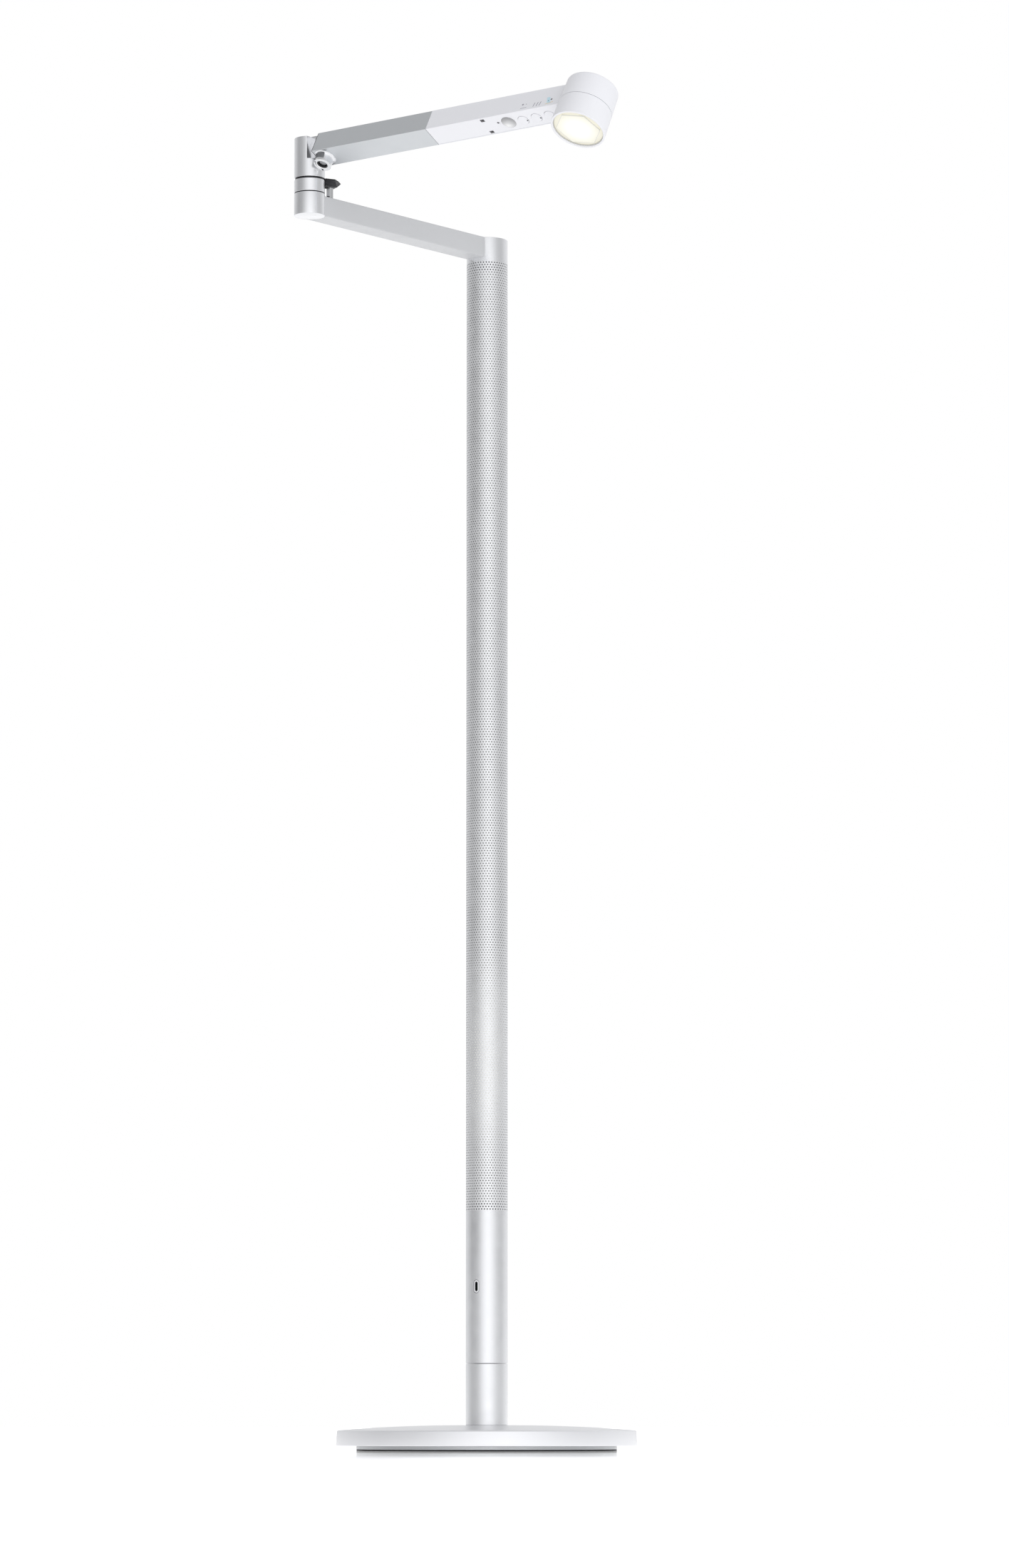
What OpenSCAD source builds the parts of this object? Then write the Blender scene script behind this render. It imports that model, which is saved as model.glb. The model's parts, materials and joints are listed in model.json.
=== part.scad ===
// Adjustable task floor lamp. A weighted disc base carries a collar, on which a perforated
// stem swivels. A horizontal lower arm leads to a stacked elbow, and a square upper arm,
// which also rolls about its own length, ends in a round head that shines downwards.
// Origin: centre of the base on the floor. +Z up, +X to the right of the user's view,
// -Y towards the user.

/* [Base] */
// Diameter of the base disc
base_d = 284; // [240:1:320]
// Height of the disc's upright rim
rim_h = 14.6; // [14:0.2:20]
// Rise of the disc's top from the rim to the collar
crown_h = 4.5; // [2:0.5:8]
// Diameter of the dark plinth under the disc
foot_d = 245; // [200:1:260]
// Height of the plinth, pad included
foot_h = 4.7; // [4:0.1:8]

/* [Stem] */
// Outer diameter of the stem and its collar
stem_d = 39.5; // [38:0.5:44]
// Wall of the stem tube
stem_wall = 1.3; // [1:0.1:1.5]
// Height of the collar above the disc
collar_h = 57.4; // [50:0.2:80]
// Height of the stem's top above the floor
stem_top = 1160.2; // [900:0.2:1300]
// Height of the charging port above the floor
port_z = 153.5; // [150:0.5:160]
// Angle of the charging port to the left of the front
port_angle = 30.1; // [0:0.1:60]

/* [Lower arm] */
// Distance from the stem's axis to the elbow's axis
lower_reach = 251.7; // [180:0.1:320]
// Heading from the elbow to the stem, from +X
lower_heading = 48.9; // [0:0.1:90]
// Width of the lower arm
lower_w = 22.7; // [20:0.1:24]
// Height of the lower arm
lower_h = 19.2; // [17:0.1:22]
// Diameter of the elbow's stacked knuckles
knuckle_d = 28.7; // [28:0.1:30]

/* [Upper arm] */
// Heading of the upper arm, towards the user from +X
upper_heading = 38.4; // [0:0.1:90]
// Roll of the upper arm, its underside turned to the user
arm_roll = 28.2; // [0:0.1:60]
// Height of the upper arm's axis above the lower arm's top
arm_rise = 41.8; // [41:0.1:50]
// Width of the upper arm
upper_w = 23; // [22:0.1:24]
// Height of the upper arm
upper_h = 21.8; // [21:0.1:23]
// Distance from the elbow's axis to the end of the grey profile
profile_end = 151; // [140:1:180]
// Distance from the elbow's axis to the head's axis
head_reach = 327.8; // [322:0.1:345]

/* [Head] */
// Diameter of the head at its mouth
mouth_d = 50.6; // [50:0.1:54]
// Diameter of the head at its top
head_top_d = 48.2; // [48:0.1:50]
// Height of the head
head_h = 47.7; // [46:0.1:52]
// Height of the head's cap, above its seam
cap_h = 24.1; // [24:0.1:26]

/* [Controls] */
// Diameter of a push button
button_d = 10.4; // [9:0.1:11]
// Spacing of the push buttons
button_pitch = 15; // [14.5:0.1:16]
// Travel of a push button
button_travel = 0.8; // [0.4:0.1:0.8]

/* [Hidden] */
$fn = 96;
small_fn = 32;

eps = 0.5;            // overshoot of a cut past a face
snug = 0.05;          // gap between two fixed pieces
run_fit = 0.05;       // radial play of a shaft in its bush
move_gap = 0.35;      // gap between two pieces that move past each other

// Heights of the base, from the floor
disc_r = base_d / 2;
disc_z = foot_h;
rim_z = disc_z + rim_h;
seat_z = rim_z + crown_h;
seat_r = stem_d / 2 + 1.5;
pad_h = 1.1;
rim_draft = 0.8;
rim_edge = 1.8;
crown_end_r = disc_r - rim_draft - rim_edge;
disc_wall = 4;
cavity_r = disc_r - disc_wall - 1.5;
cavity_h = 10.6;
cavity_z = disc_z + cavity_h;
crown_steps = 8;

// Power inlet in the disc's rear rim
jack_r = 4.4;
jack_z = 10.3;
jack_face = disc_r - 1.2;
jack_hole_r = 2.75;
jack_pocket_x = 7;

// Screws that hold the swivel post in the disc, and the lead from the inlet
screw_r = 2;
screw_head_r = 3.6;
screw_head_h = 2.4;
screw_ring_r = 21;
lead_r = 1.8;
lead_z = disc_z + 3;

// Stem and its swivel
stem_r = stem_d / 2;
bore_r = stem_r - stem_wall;
collar_z = seat_z + collar_h;
stem_z = collar_z + 0.4;
post_r = 10;
post_bore_r = 5;
post_flange_r = 28;
post_flange_h = 4.9;
washer_h = 0.85;
washer_r = 16;
bush_wall = 2;
bush_h = 12;
foot_len = 41.4;
foot_top = stem_z + foot_len;
nut_h = 6.5;
nut_r = 14;
post_thread_r = 8;
thread_gap = 0.02;    // radial gap between a thread and its nut
sled_low = foot_top + nut_h + 4;
sled_r = 7.5;

// Perforated zone and the light chamber behind it
perf_low = 224.9;
perf_high = stem_top - 23.5;
chamber_low = perf_low + 7;
chamber_high = perf_high - 10;
diffuser_r = 17.4;
diffuser_wall = 1.2;
core_wall = 2.8;
window_h = 2.4;

// Charging port
port_w = 5.5;
port_h = 12;
slot_w = 2.9;
slot_h = 8.9;
shell_wall = 0.3;

// Lower arm and elbow stack
arm_top = stem_top;
arm_low = arm_top - lower_h;
channel_w = 15;
channel_h = 11;
end_block = 16;
arm_mid = arm_top - lower_h / 2;
hub_screw_dz = [-4.4, 4.4];
hub_screw_r = 1.6;
hub_screw_head_r = 2.5;
cable_r = 1.8;
cable_x = 8;
knuckle_r = knuckle_d / 2;
knuckle_top = arm_top + 1.7;
groove_h = 0.9;
groove_in = 0.95;
ring_top = arm_top + 14.4;
bumper_disc_h = 1.5;
upper_z = ring_top + bumper_disc_h + 0.3;
upper_top = arm_top + 54;
shaft_r = 6;
shaft_bore_r = 3.2;
shaft_low = arm_low + 4;
elbow_bush_h = 11.6;
elbow_bush_r = 7.6;
shaft_thread_r = 4.5;
elbow_nut_h = 5;
elbow_nut_r = 7.2;
cap_r = 8.5;
cap_t = 2;
cut_x = 7.15;
ledge_z = arm_top + 32.9;
tongue_w = 13.2;
tongue_end = 14.5;

// Rest bumper and its post, placed round the elbow's axis
bumper_heading = 26;
bumper_low = arm_top + 10;
bumper_high = arm_top + 17.4;
bumper_w = 13;
bumper_mid = (bumper_low + bumper_high) / 2;
bumper_ridge = 1.6;
bumper_tip_z = bumper_mid + 1;
bumper_root = knuckle_r + move_gap;
bumper_shoulder = [23.8, 26];
bumper_cheek = 27.6;
bumper_tip = 31.6;
bumper_nose = 0.6;
rest_post_r = 3.55;
rest_post_turn = 46;
rest_post_along = 19.1;
rest_post_side = 7.9;

// Roll joint along the upper arm's axis
arm_z = arm_top + arm_rise;
arm_start = 15.1;
roll_r = 4;
roll_bore_r = 2;
roll_start = 7.8;
roll_end = 46.5;
roll_thread_r = 3;
roll_bush_r = 6;
roll_bush_h = 8.8;
roll_bush_low = [arm_start + 0.1, 37.4];
roll_seat = 46.2;
roll_nut_r = 6.1;
roll_nut_h = 5;
plug_end = 54;
profile_wall = 1.8;

// Docking boss under the upper arm's elbow end
boss_x = 23.1;
boss_base_r = 10.6;
boss_neck_r = 8.3;
boss_flare_h = 4.6;
boss_h = 6.7;
dock_r = 8.4;
dock_hole_r = 5;
dock_h = 2.2;
socket_wall = 0.9;
socket_depth = 2.6;
socket_floor = 1;
magnet_r = 3.4;
magnet_h = 1;
grille_w = 10.4;
grille_r = 7.9;
grille_t = 0.8;
grille_ribs = 11;
grille_step = 6.4;
grille_y = -sqrt(pow(grille_r - grille_t, 2) - pow(grille_w / 2, 2)) + 0.1;

// White optical section
housing_start = profile_end + 0.25;
housing_wall = 1.6;
cover_w = upper_w - 1.8;
cover_t = 1.5;
cover_face = -upper_h / 2 + 0.05;
board_z = -2.4;
board_t = 1.2;
board_w = 17;
board_span = [206, 297];
window_x = 215.2;
window_y = 8;
window_size = [4.6, 3.3];
sensor_x = 229.2;
sensor_y = -1.8;
sensor_r = 0.8;
scoop_r = 3;
scoop_depth = 0.8;
scoop_slope = 9;
dome_x = 240;
dome_r = 7.2;
dome_h = 2.6;
dome_wall = 0.9;
dome_flange = 0.9;
pir_r = 4.6;
pir_h = 4.2;
buttons_x = [for (i = [0 : 2]) 256.5 + i * button_pitch];
buttons_y = 0.7;
button_r = button_d / 2;
button_hole_r = button_r + 0.3;
button_face = -upper_h / 2 - 0.25;
button_flange_r = button_r + 0.9;
button_flange_z = cover_face + cover_t + 0.3;
button_flange_t = 0.8;
button_stem_r = 1.5;
button_stem_top = -6.6;
switch_size = 4.6;
switch_z = button_stem_top + button_travel + 0.5;
led_offset = [4, 1.2];
led_hole_r = 0.9;
led_r = 0.6;
led_face = button_face + 1.35;

// Head, about its own axis
head_top = 11.1;
seam_z = head_top - cap_h;
shade_top = seam_z - 0.3;
mouth_z = head_top - head_h;
head_wall = 1.8;
head_edge = 1.6;
spigot_r = 22.4;
spigot_wall = 1.3;
spigot_top = -9.5;
sink_r = 20.9;
sink_plate = 3.4;
sink_low = spigot_top - sink_plate;
sink_top = 8;
fins = 7;
fin_t = 1.4;
fin_pitch = 5.2;
pipe_r = 3;
pipe_z = 3.5;
pipe_start = 60;
pipe_end = head_reach + 17;
led_board_r = 20.7;
led_board_t = 1.5;
led_board_z = sink_low - snug - led_board_t;
chip_size = 3.4;
chip_t = 0.8;
chip_ring_r = 8.6;
chips = 6;
chip_z = led_board_z - 0.02 - chip_t;
lens_turn = 78.4;
lens_hex_r = 21.3;
lens_flange_r = 22.9;
lens_flange_t = 1.2;
lens_face = mouth_z + 0.7;
lens_hex_t = 1.4;
reflector_in_r = 12.5;
reflector_out_r = 21.8;
reflector_wall = 0.9;
reflector_top = chip_z - 0.1;
reflector_low = lens_face + lens_hex_t + lens_flange_t + 0.05;

// ---- frames ----

module at_elbow()
    rotate([0, 0, lower_heading + 180]) translate([lower_reach, 0, 0])
        rotate([0, 0, -lower_heading - 180]) children();

// +X from the stem's axis to the elbow's axis
module lower_frame() rotate([0, 0, lower_heading + 180]) children();

// Origin on the elbow's axis, +X along the upper arm, +Z up
module knuckle_frame() at_elbow() rotate([0, 0, -upper_heading]) children();

// Origin where the arm's axis meets the elbow's, +X along the arm, -Z out of its underside
module arm_frame() knuckle_frame() translate([0, 0, arm_z]) rotate([-arm_roll, 0, 0]) children();

module head_frame() arm_frame() translate([head_reach, 0, 0]) children();

// ---- shapes ----

module tube(r_out, r_in, h)
    difference() {
        cylinder(r = r_out, h = h);
        translate([0, 0, -eps]) cylinder(r = r_in, h = h + 2 * eps);
    }

module rod_x(r, x0, x1) translate([x0, 0, 0]) rotate([0, 90, 0]) cylinder(r = r, h = x1 - x0);

module block(low, high) translate(low) cube(high - low);

module capsule(w, h, len)
    linear_extrude(len) {
        square([w, h - w], center = true);
        for (side = [-1, 1]) translate([0, side * (h - w) / 2]) circle(d = w, $fn = small_fn);
    }

// Along the charging port's direction: +Z outwards, +Y up
module port_frame()
    translate([0, 0, port_z]) rotate([0, 0, -90 - port_angle]) rotate([90, 0, 90]) children();

function head_r(z) = head_top_d / 2 + (head_top - z) * (mouth_d - head_top_d) / 2 / head_h;

// ---- base ----

module foot_pad() color("#2b2b2d") cylinder(d = foot_d, h = pad_h);

module base_cover() color("#9b9da0")
    translate([0, 0, pad_h]) cylinder(d = foot_d, h = disc_z - pad_h);

module ballast_plate() color("#6f7276") difference() {
    translate([0, 0, disc_z + snug]) cylinder(r = cavity_r - 0.5, h = cavity_h - 2 * snug);
    translate([0, 0, cavity_z - post_flange_h - 2 * snug])
        cylinder(r = post_flange_r + 0.1, h = post_flange_h + 1);
    cylinder(r = post_bore_r, h = cavity_z);
    block([-jack_pocket_x, disc_r - 24, 0], [jack_pocket_x, disc_r, cavity_z + eps]);
    block([-2.5, 0, 0], [2.5, disc_r - 23, lead_z + 3]);
    base_screw_places() {
        cylinder(r = screw_r + 0.1, h = cavity_z, $fn = small_fn);
        cylinder(r = screw_head_r + 0.1, h = disc_z + screw_head_h + 2 * snug, $fn = small_fn);
    }
}

function crown_z(r) = seat_z - crown_h * pow((r - seat_r) / (crown_end_r - seat_r), 2);

function disc_outline() = concat(
    [[0, disc_z], [disc_r - 0.8, disc_z], [disc_r, disc_z + 0.8]],
    [for (a = [0 : 15 : 90])
        [crown_end_r + rim_edge * cos(a), rim_z - rim_edge + rim_edge * sin(a)]],
    [for (i = [crown_steps - 1 : -1 : 0])
        let (r = seat_r + (crown_end_r - seat_r) * i / crown_steps)
        [r, crown_z(r)]],
    [[0, seat_z]]
);

module base_disc() color("#eceef0") difference() {
    rotate_extrude($fn = 180) polygon(disc_outline());
    translate([0, 0, disc_z - eps]) cylinder(r = cavity_r, h = cavity_h + eps);
    cylinder(r = post_r + snug, h = seat_z + eps);
    translate([0, cavity_r - 1, jack_z]) rotate([-90, 0, 0]) cylinder(r = jack_r + snug, h = 12);
}

module dc_inlet() color("#232326") difference() {
    union() {
        translate([0, cavity_r - 0.4, jack_z]) rotate([-90, 0, 0])
            cylinder(r = jack_r, h = jack_face - cavity_r + 0.4);
        block([-5.5, disc_r - 22, disc_z + 0.6], [5.5, cavity_r - 0.4, cavity_z - 0.4]);
    }
    translate([0, jack_face - 9, jack_z]) rotate([-90, 0, 0])
        cylinder(r = jack_hole_r, h = 9 + eps, $fn = small_fn);
}

module base_screw_places()
    for (a = [45 : 90 : 359]) rotate([0, 0, a]) translate([screw_ring_r, 0, 0]) children();

module base_screws() color("#9a9da1") base_screw_places() translate([0, 0, disc_z + snug]) {
    cylinder(r = screw_head_r, h = screw_head_h, $fn = small_fn);
    translate([0, 0, screw_head_h]) cylinder(r = screw_r, h = 6.4, $fn = small_fn);
}

module base_lead() color("#1d1d1f") translate([0, 0, lead_z]) {
    rotate([-90, 0, 0]) cylinder(r = lead_r, h = disc_r - 22, $fn = small_fn);
    sphere(r = lead_r, $fn = small_fn);
    cylinder(r = lead_r, h = 118, $fn = small_fn);
}

module swivel_post() color("#8f9296") difference() {
    union() {
        translate([0, 0, cavity_z - post_flange_h]) cylinder(r = post_flange_r, h = post_flange_h - snug);
        translate([0, 0, cavity_z - 1]) cylinder(r = post_r, h = foot_top + 0.4 - cavity_z + 1);
        translate([0, 0, foot_top]) cylinder(r = post_thread_r, h = nut_h + 2);
    }
    cylinder(r = post_bore_r, h = stem_top / 2);
    base_screw_places() cylinder(r = screw_r + thread_gap, h = cavity_z, $fn = small_fn);
}

module stem_collar() color("#d4d6d9") difference() {
    translate([0, 0, seat_z]) cylinder(r = stem_r, h = collar_h);
    translate([0, 0, seat_z - eps]) cylinder(r = post_r + snug, h = collar_h + 2 * eps);
    translate([0, 0, seat_z + 8]) cylinder(r = bore_r - 1, h = collar_h - 18);
    translate([0, 0, collar_z - washer_h + snug]) cylinder(r = washer_r + 0.3, h = washer_h + eps);
}

module thrust_washer() color("#55585c")
    translate([0, 0, collar_z - washer_h + snug]) tube(washer_r, post_r + snug, washer_h);

module post_nut() color("#8f9296") translate([0, 0, foot_top + 0.5]) difference() {
    cylinder(r = nut_r, h = nut_h, $fn = 6);
    translate([0, 0, -eps]) cylinder(r = post_thread_r + thread_gap, h = nut_h + 2 * eps);
}

// ---- stem ----

module stem_foot() color("#9fa2a6")
    translate([0, 0, stem_z]) tube(bore_r - snug, post_r + bush_wall, foot_len);

module swivel_bushes() color("#b08d57")
    for (z = [stem_z + 0.1, foot_top - bush_h])
        translate([0, 0, z]) tube(post_r + bush_wall - 0.02, post_r + run_fit, bush_h);

module stem_tube() color("#d4d6d9") difference() {
    translate([0, 0, stem_z]) tube(stem_r, bore_r, stem_top - stem_z);
    port_frame() translate([0, 0, bore_r - 6]) capsule(port_w, port_h, 10);
    lower_frame() {
        for (dz = hub_screw_dz)
            translate([0, 0, arm_mid + dz])
                rod_x(hub_screw_r + 0.2, bore_r - 3, stem_r + 3, $fn = small_fn);
        translate([0, 0, arm_mid]) rod_x(cable_r + 0.6, bore_r - 3, stem_r + 3, $fn = small_fn);
    }
}

module port_bezel() color("#c9cbce") difference() {
    intersection() {
        port_frame() translate([0, 0, bore_r - 2]) capsule(port_w - 0.1, port_h - 0.1, 6);
        translate([0, 0, port_z - port_h]) cylinder(r = stem_r - 0.1, h = 2 * port_h);
    }
    port_frame() translate([0, 0, bore_r - 6]) capsule(slot_w, slot_h, 12);
}

module usb_port() color("#7d8084") port_frame() difference() {
    translate([0, 0, bore_r - 7]) capsule(slot_w - 0.1, slot_h - 0.1, 7.8);
    translate([0, 0, bore_r - 6.4])
        capsule(slot_w - 0.1 - 2 * shell_wall, slot_h - 0.1 - 2 * shell_wall, 8);
    translate([0, 0, bore_r - 8]) block([-0.6, -3.6, 0], [0.6, 3.6, 3]);
}

module usb_board() color("#1f5c3a") port_frame() translate([0, 0, bore_r - 9]) {
    block([-4.5, -8, 0], [4.5, 8, 1.4]);
    block([-0.5, -3.4, 1.4], [0.5, 3.4, 8]);
}

module electronics_sled() color("#e6e7e8") difference() {
    union() {
        translate([0, 0, perf_low - 9]) cylinder(r = bore_r - 0.1, h = chamber_low - perf_low + 8.8);
        translate([0, 0, sled_low]) intersection() {
            cylinder(r = bore_r - 0.1, h = perf_low - 8.5 - sled_low);
            block([-sled_r, 6, 0], [sled_r, bore_r, perf_low - 8 - sled_low]);
        }
    }
    translate([-9, 9, perf_low - 10]) cylinder(r = cable_r + 0.2, h = 30, $fn = small_fn);
}

module driver_board() color("#1f5c3a") {
    block([-sled_r, 4.2, sled_low + 2], [sled_r, 5.8, perf_low - 12]);
    translate([0, 4.2, sled_low + 40]) rotate([90, 0, 0]) cylinder(r = 5, h = 6, $fn = small_fn);
    block([-5, -1, sled_low + 52], [5, 4.2, sled_low + 64]);
    block([-4, 1.6, sled_low + 22], [4, 4.2, sled_low + 30]);
}

module diffuser_tube() color("#f7f7f4")
    translate([0, 0, chamber_low]) tube(diffuser_r, diffuser_r - diffuser_wall, chamber_high - chamber_low);

module hub_core() color("#b9bcc0") difference() {
    translate([0, 0, chamber_high + snug]) cylinder(r = bore_r - snug, h = stem_top - chamber_high - snug);
    translate([0, 0, chamber_high]) cylinder(r = bore_r - core_wall - 1.5, h = stem_top);
    translate([0, 0, stem_top - window_h - 0.3]) cylinder(r = bore_r - core_wall, h = window_h + eps);
    lower_frame() {
        for (dz = hub_screw_dz)
            translate([0, 0, arm_mid + dz]) rod_x(hub_screw_r + 0.2, 0, stem_r + 3, $fn = small_fn);
        translate([0, 0, arm_mid]) rod_x(cable_r + 0.6, 0, stem_r + 3, $fn = small_fn);
    }
}

module hub_window() color("#f4f5f6")
    translate([0, 0, stem_top - window_h - 0.25]) cylinder(r = bore_r - core_wall - 0.1, h = window_h);

module hub_screws() color("#9a9da1") lower_frame() for (dz = hub_screw_dz)
    translate([0, 0, arm_mid + dz]) {
        rod_x(hub_screw_r, 13.7, stem_r + 10, $fn = small_fn);
        rod_x(hub_screw_head_r, 10.6, 13.7, $fn = small_fn);
    }

module power_cable() color("#1d1d1f") lower_frame() {
    translate([cable_x, 0, perf_low + 8]) cylinder(r = cable_r, h = arm_mid - perf_low - 8, $fn = small_fn);
    translate([cable_x, 0, arm_mid]) sphere(r = cable_r, $fn = small_fn);
    translate([0, 0, arm_mid]) rod_x(cable_r, cable_x, lower_reach - shaft_r - 0.3, $fn = small_fn);
}

// ---- lower arm and elbow ----

module lower_arm() color("#c3c6ca") difference() {
    union() {
        lower_frame() difference() {
            block([0, -lower_w / 2, arm_low], [lower_reach, lower_w / 2, arm_top]);
            translate([0, 0, arm_low - eps]) cylinder(r = stem_r + snug, h = lower_h + 2 * eps);
            block([stem_r + end_block, -channel_w / 2, arm_mid - channel_h / 2],
                  [lower_reach - knuckle_r - end_block, channel_w / 2, arm_mid + channel_h / 2]);
        }
        at_elbow() translate([0, 0, arm_low]) cylinder(r = knuckle_r, h = knuckle_top - arm_low);
    }
    at_elbow() translate([0, 0, shaft_low]) cylinder(r = shaft_r + 0.02, h = lower_h + eps);
    lower_frame() {
        translate([0, 0, arm_mid]) rod_x(cable_r + 0.6, stem_r - 1, lower_reach, $fn = small_fn);
        for (dz = hub_screw_dz)
            translate([0, 0, arm_mid + dz])
                rod_x(hub_screw_r + snug, stem_r - 1, stem_r + 12, $fn = small_fn);
    }
    bumper_post_place() translate([0, 0, arm_top - 6]) cylinder(r = 1.5, h = 7, $fn = small_fn);
}

module elbow_shaft() color("#8f9296") at_elbow() difference() {
    union() {
        translate([0, 0, shaft_low]) cylinder(r = shaft_r, h = upper_z + elbow_bush_h + 0.3 - shaft_low);
        translate([0, 0, upper_z]) cylinder(r = shaft_thread_r, h = elbow_bush_h + elbow_nut_h + 1.6);
    }
    translate([0, 0, shaft_low + 2]) cylinder(r = shaft_bore_r, h = 60);
}

module elbow_ring() color("#d9dbde") at_elbow() difference() {
    union() {
        translate([0, 0, knuckle_top]) cylinder(r = knuckle_r - groove_in, h = groove_h);
        translate([0, 0, knuckle_top + groove_h])
            cylinder(r = knuckle_r, h = ring_top - knuckle_top - groove_h);
    }
    translate([0, 0, knuckle_top - eps]) cylinder(r = shaft_r + snug, h = 20);
}

module bumper_post_place() lower_frame()
    translate([lower_reach - rest_post_along, rest_post_side, 0]) children();

// Black nose that the folded arm rests by, with the thin disc that pads the elbow
module rest_bumper() color("#19191c") at_elbow() difference() {
    union() {
        translate([0, 0, ring_top]) cylinder(r = knuckle_r - groove_in, h = bumper_disc_h);
        rotate([0, 0, bumper_heading]) {
            intersection() {
                block([0, -bumper_w / 2, ring_top],
                      [bumper_root + 1, bumper_w / 2, ring_top + bumper_disc_h]);
                cylinder(r = bumper_root + 1, h = upper_top);
            }
            difference() {
                hull() {
                    block([bumper_root - 2, -bumper_w / 2 + bumper_ridge, bumper_high - 1],
                          [bumper_shoulder[0], bumper_w / 2 - bumper_ridge, bumper_high]);
                    block([bumper_root - 2, -bumper_w / 2, bumper_mid - bumper_nose / 2],
                          [bumper_shoulder[0], bumper_w / 2, bumper_mid + bumper_nose / 2]);
                    block([bumper_root - 2, -bumper_w / 2 + bumper_ridge, bumper_low],
                          [bumper_shoulder[1], bumper_w / 2 - bumper_ridge, bumper_low + 1]);
                    block([bumper_cheek - 1, -bumper_w / 4, bumper_tip_z],
                          [bumper_cheek, bumper_w / 4, bumper_high - 1]);
                    block([bumper_tip - 1, -bumper_nose / 2, bumper_tip_z - bumper_nose / 2],
                          [bumper_tip, bumper_nose / 2, bumper_tip_z + bumper_nose / 2]);
                }
                translate([0, 0, bumper_low - eps]) cylinder(r = bumper_root, h = 10);
            }
        }
    }
    translate([0, 0, ring_top - eps]) cylinder(r = shaft_r + run_fit, h = 10);
}

module rest_post() color("#c9ccd0") bumper_post_place() {
    translate([0, 0, arm_top + snug]) rotate([0, 0, rest_post_turn])
        cylinder(r = rest_post_r, h = bumper_low - arm_top - 2 * snug, $fn = 6);
    translate([0, 0, arm_top - 5]) cylinder(r = 1.45, h = 5 + 2 * snug, $fn = small_fn);
}

module elbow_nut() color("#8f9296") at_elbow()
    translate([0, 0, upper_z + elbow_bush_h + 0.4])
        tube(elbow_nut_r, shaft_thread_r + thread_gap, elbow_nut_h);

module upper_knuckle() color("#d0d3d6") knuckle_frame() difference() {
    union() {
        difference() {
            translate([0, 0, upper_z]) cylinder(r = knuckle_r, h = upper_top - upper_z);
            block([cut_x, -knuckle_r - 1, ledge_z], [knuckle_r + 1, knuckle_r + 1, upper_top + eps]);
        }
        block([0, -tongue_w / 2, ledge_z - 1], [tongue_end, tongue_w / 2, upper_top]);
    }
    translate([0, 0, upper_z - eps]) cylinder(r = elbow_bush_r, h = upper_top - cap_t - upper_z);
    translate([0, 0, upper_top - cap_t - snug]) cylinder(r = cap_r, h = cap_t + eps);
    translate([0, 0, upper_top - 5]) cylinder(r = elbow_bush_r, h = 5);
    translate([0, 0, arm_z]) rod_x(roll_r + 0.02, 0, tongue_end + eps);
}

module knuckle_cap() color("#c2c5c9") knuckle_frame()
    translate([0, 0, upper_top - cap_t]) cylinder(r = cap_r - 0.05, h = cap_t - 0.1);

module elbow_bush() color("#b08d57") at_elbow()
    translate([0, 0, upper_z + 0.05]) tube(elbow_bush_r - 0.02, shaft_r + run_fit, elbow_bush_h - 0.1);

// ---- roll joint ----

module roll_shaft() color("#8f9296") arm_frame() difference() {
    union() {
        rod_x(roll_r, roll_start, roll_end);
        rod_x(roll_thread_r, roll_end - 1, roll_end + roll_nut_h + 1);
    }
    rod_x(roll_bore_r, roll_start - 1, roll_end + 10, $fn = small_fn);
}

module roll_nut() color("#8f9296") arm_frame() difference() {
    rod_x(roll_nut_r, roll_seat + 0.4, roll_seat + 0.4 + roll_nut_h);
    rod_x(roll_thread_r + thread_gap, roll_seat, roll_seat + roll_nut_h + 1);
    rod_x(roll_r + thread_gap, roll_seat, roll_end + thread_gap);
}

module roll_bushes() color("#b08d57") arm_frame() for (x = roll_bush_low) difference() {
    rod_x(roll_bush_r - 0.02, x, x + roll_bush_h);
    rod_x(roll_r + run_fit, x - 1, x + roll_bush_h + 1);
}

module arm_end_plug() color("#aeb2b6") arm_frame() difference() {
    block([arm_start, -upper_w / 2 + profile_wall + snug, -upper_h / 2 + profile_wall + snug],
          [plug_end, upper_w / 2 - profile_wall - snug, upper_h / 2 - profile_wall - snug]);
    rod_x(roll_bush_r, arm_start - 1, roll_seat);
    rod_x(roll_nut_r + 0.5, roll_seat, plug_end + 1);
}

// ---- upper arm ----

module arm_profile() color("#a3a9ae") arm_frame() difference() {
    block([arm_start, -upper_w / 2, -upper_h / 2], [profile_end, upper_w / 2, upper_h / 2]);
    block([arm_start - 1, -upper_w / 2 + profile_wall, -upper_h / 2 + profile_wall],
          [profile_end + 1, upper_w / 2 - profile_wall, upper_h / 2 - profile_wall]);
}

function boss_outline() = concat(
    [[0, 0]],
    [for (a = [0 : 15 : 90])
        [boss_neck_r + (boss_base_r - boss_neck_r) * (1 - sin(a)), -boss_flare_h * (1 - cos(a))]],
    [[boss_neck_r, -boss_h], [0, -boss_h]]
);

module boss_frame() arm_frame() translate([boss_x, 0, -upper_h / 2]) children();

module dock_boss() color("#d2d5d8") boss_frame() difference() {
    rotate_extrude() polygon(boss_outline());
    translate([0, 0, -boss_h - eps]) cylinder(r = dock_hole_r, h = boss_h);
    block([-grille_w / 2, -boss_base_r - 1, -boss_h + 0.5], [grille_w / 2, grille_y, -0.5]);
    block([-boss_base_r - 1, -boss_base_r - 1, -boss_h - 1],
          [arm_start + 0.3 - boss_x, boss_base_r + 1, 1]);
}

module dock_ring() color("#e0e2e4") boss_frame() translate([0, 0, -boss_h - dock_h]) difference() {
    tube(dock_r, dock_hole_r, dock_h - 0.02);
    translate([0, 0, -0.01]) cylinder(r1 = dock_hole_r + 0.6, r2 = dock_hole_r, h = 0.6);
}

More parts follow.
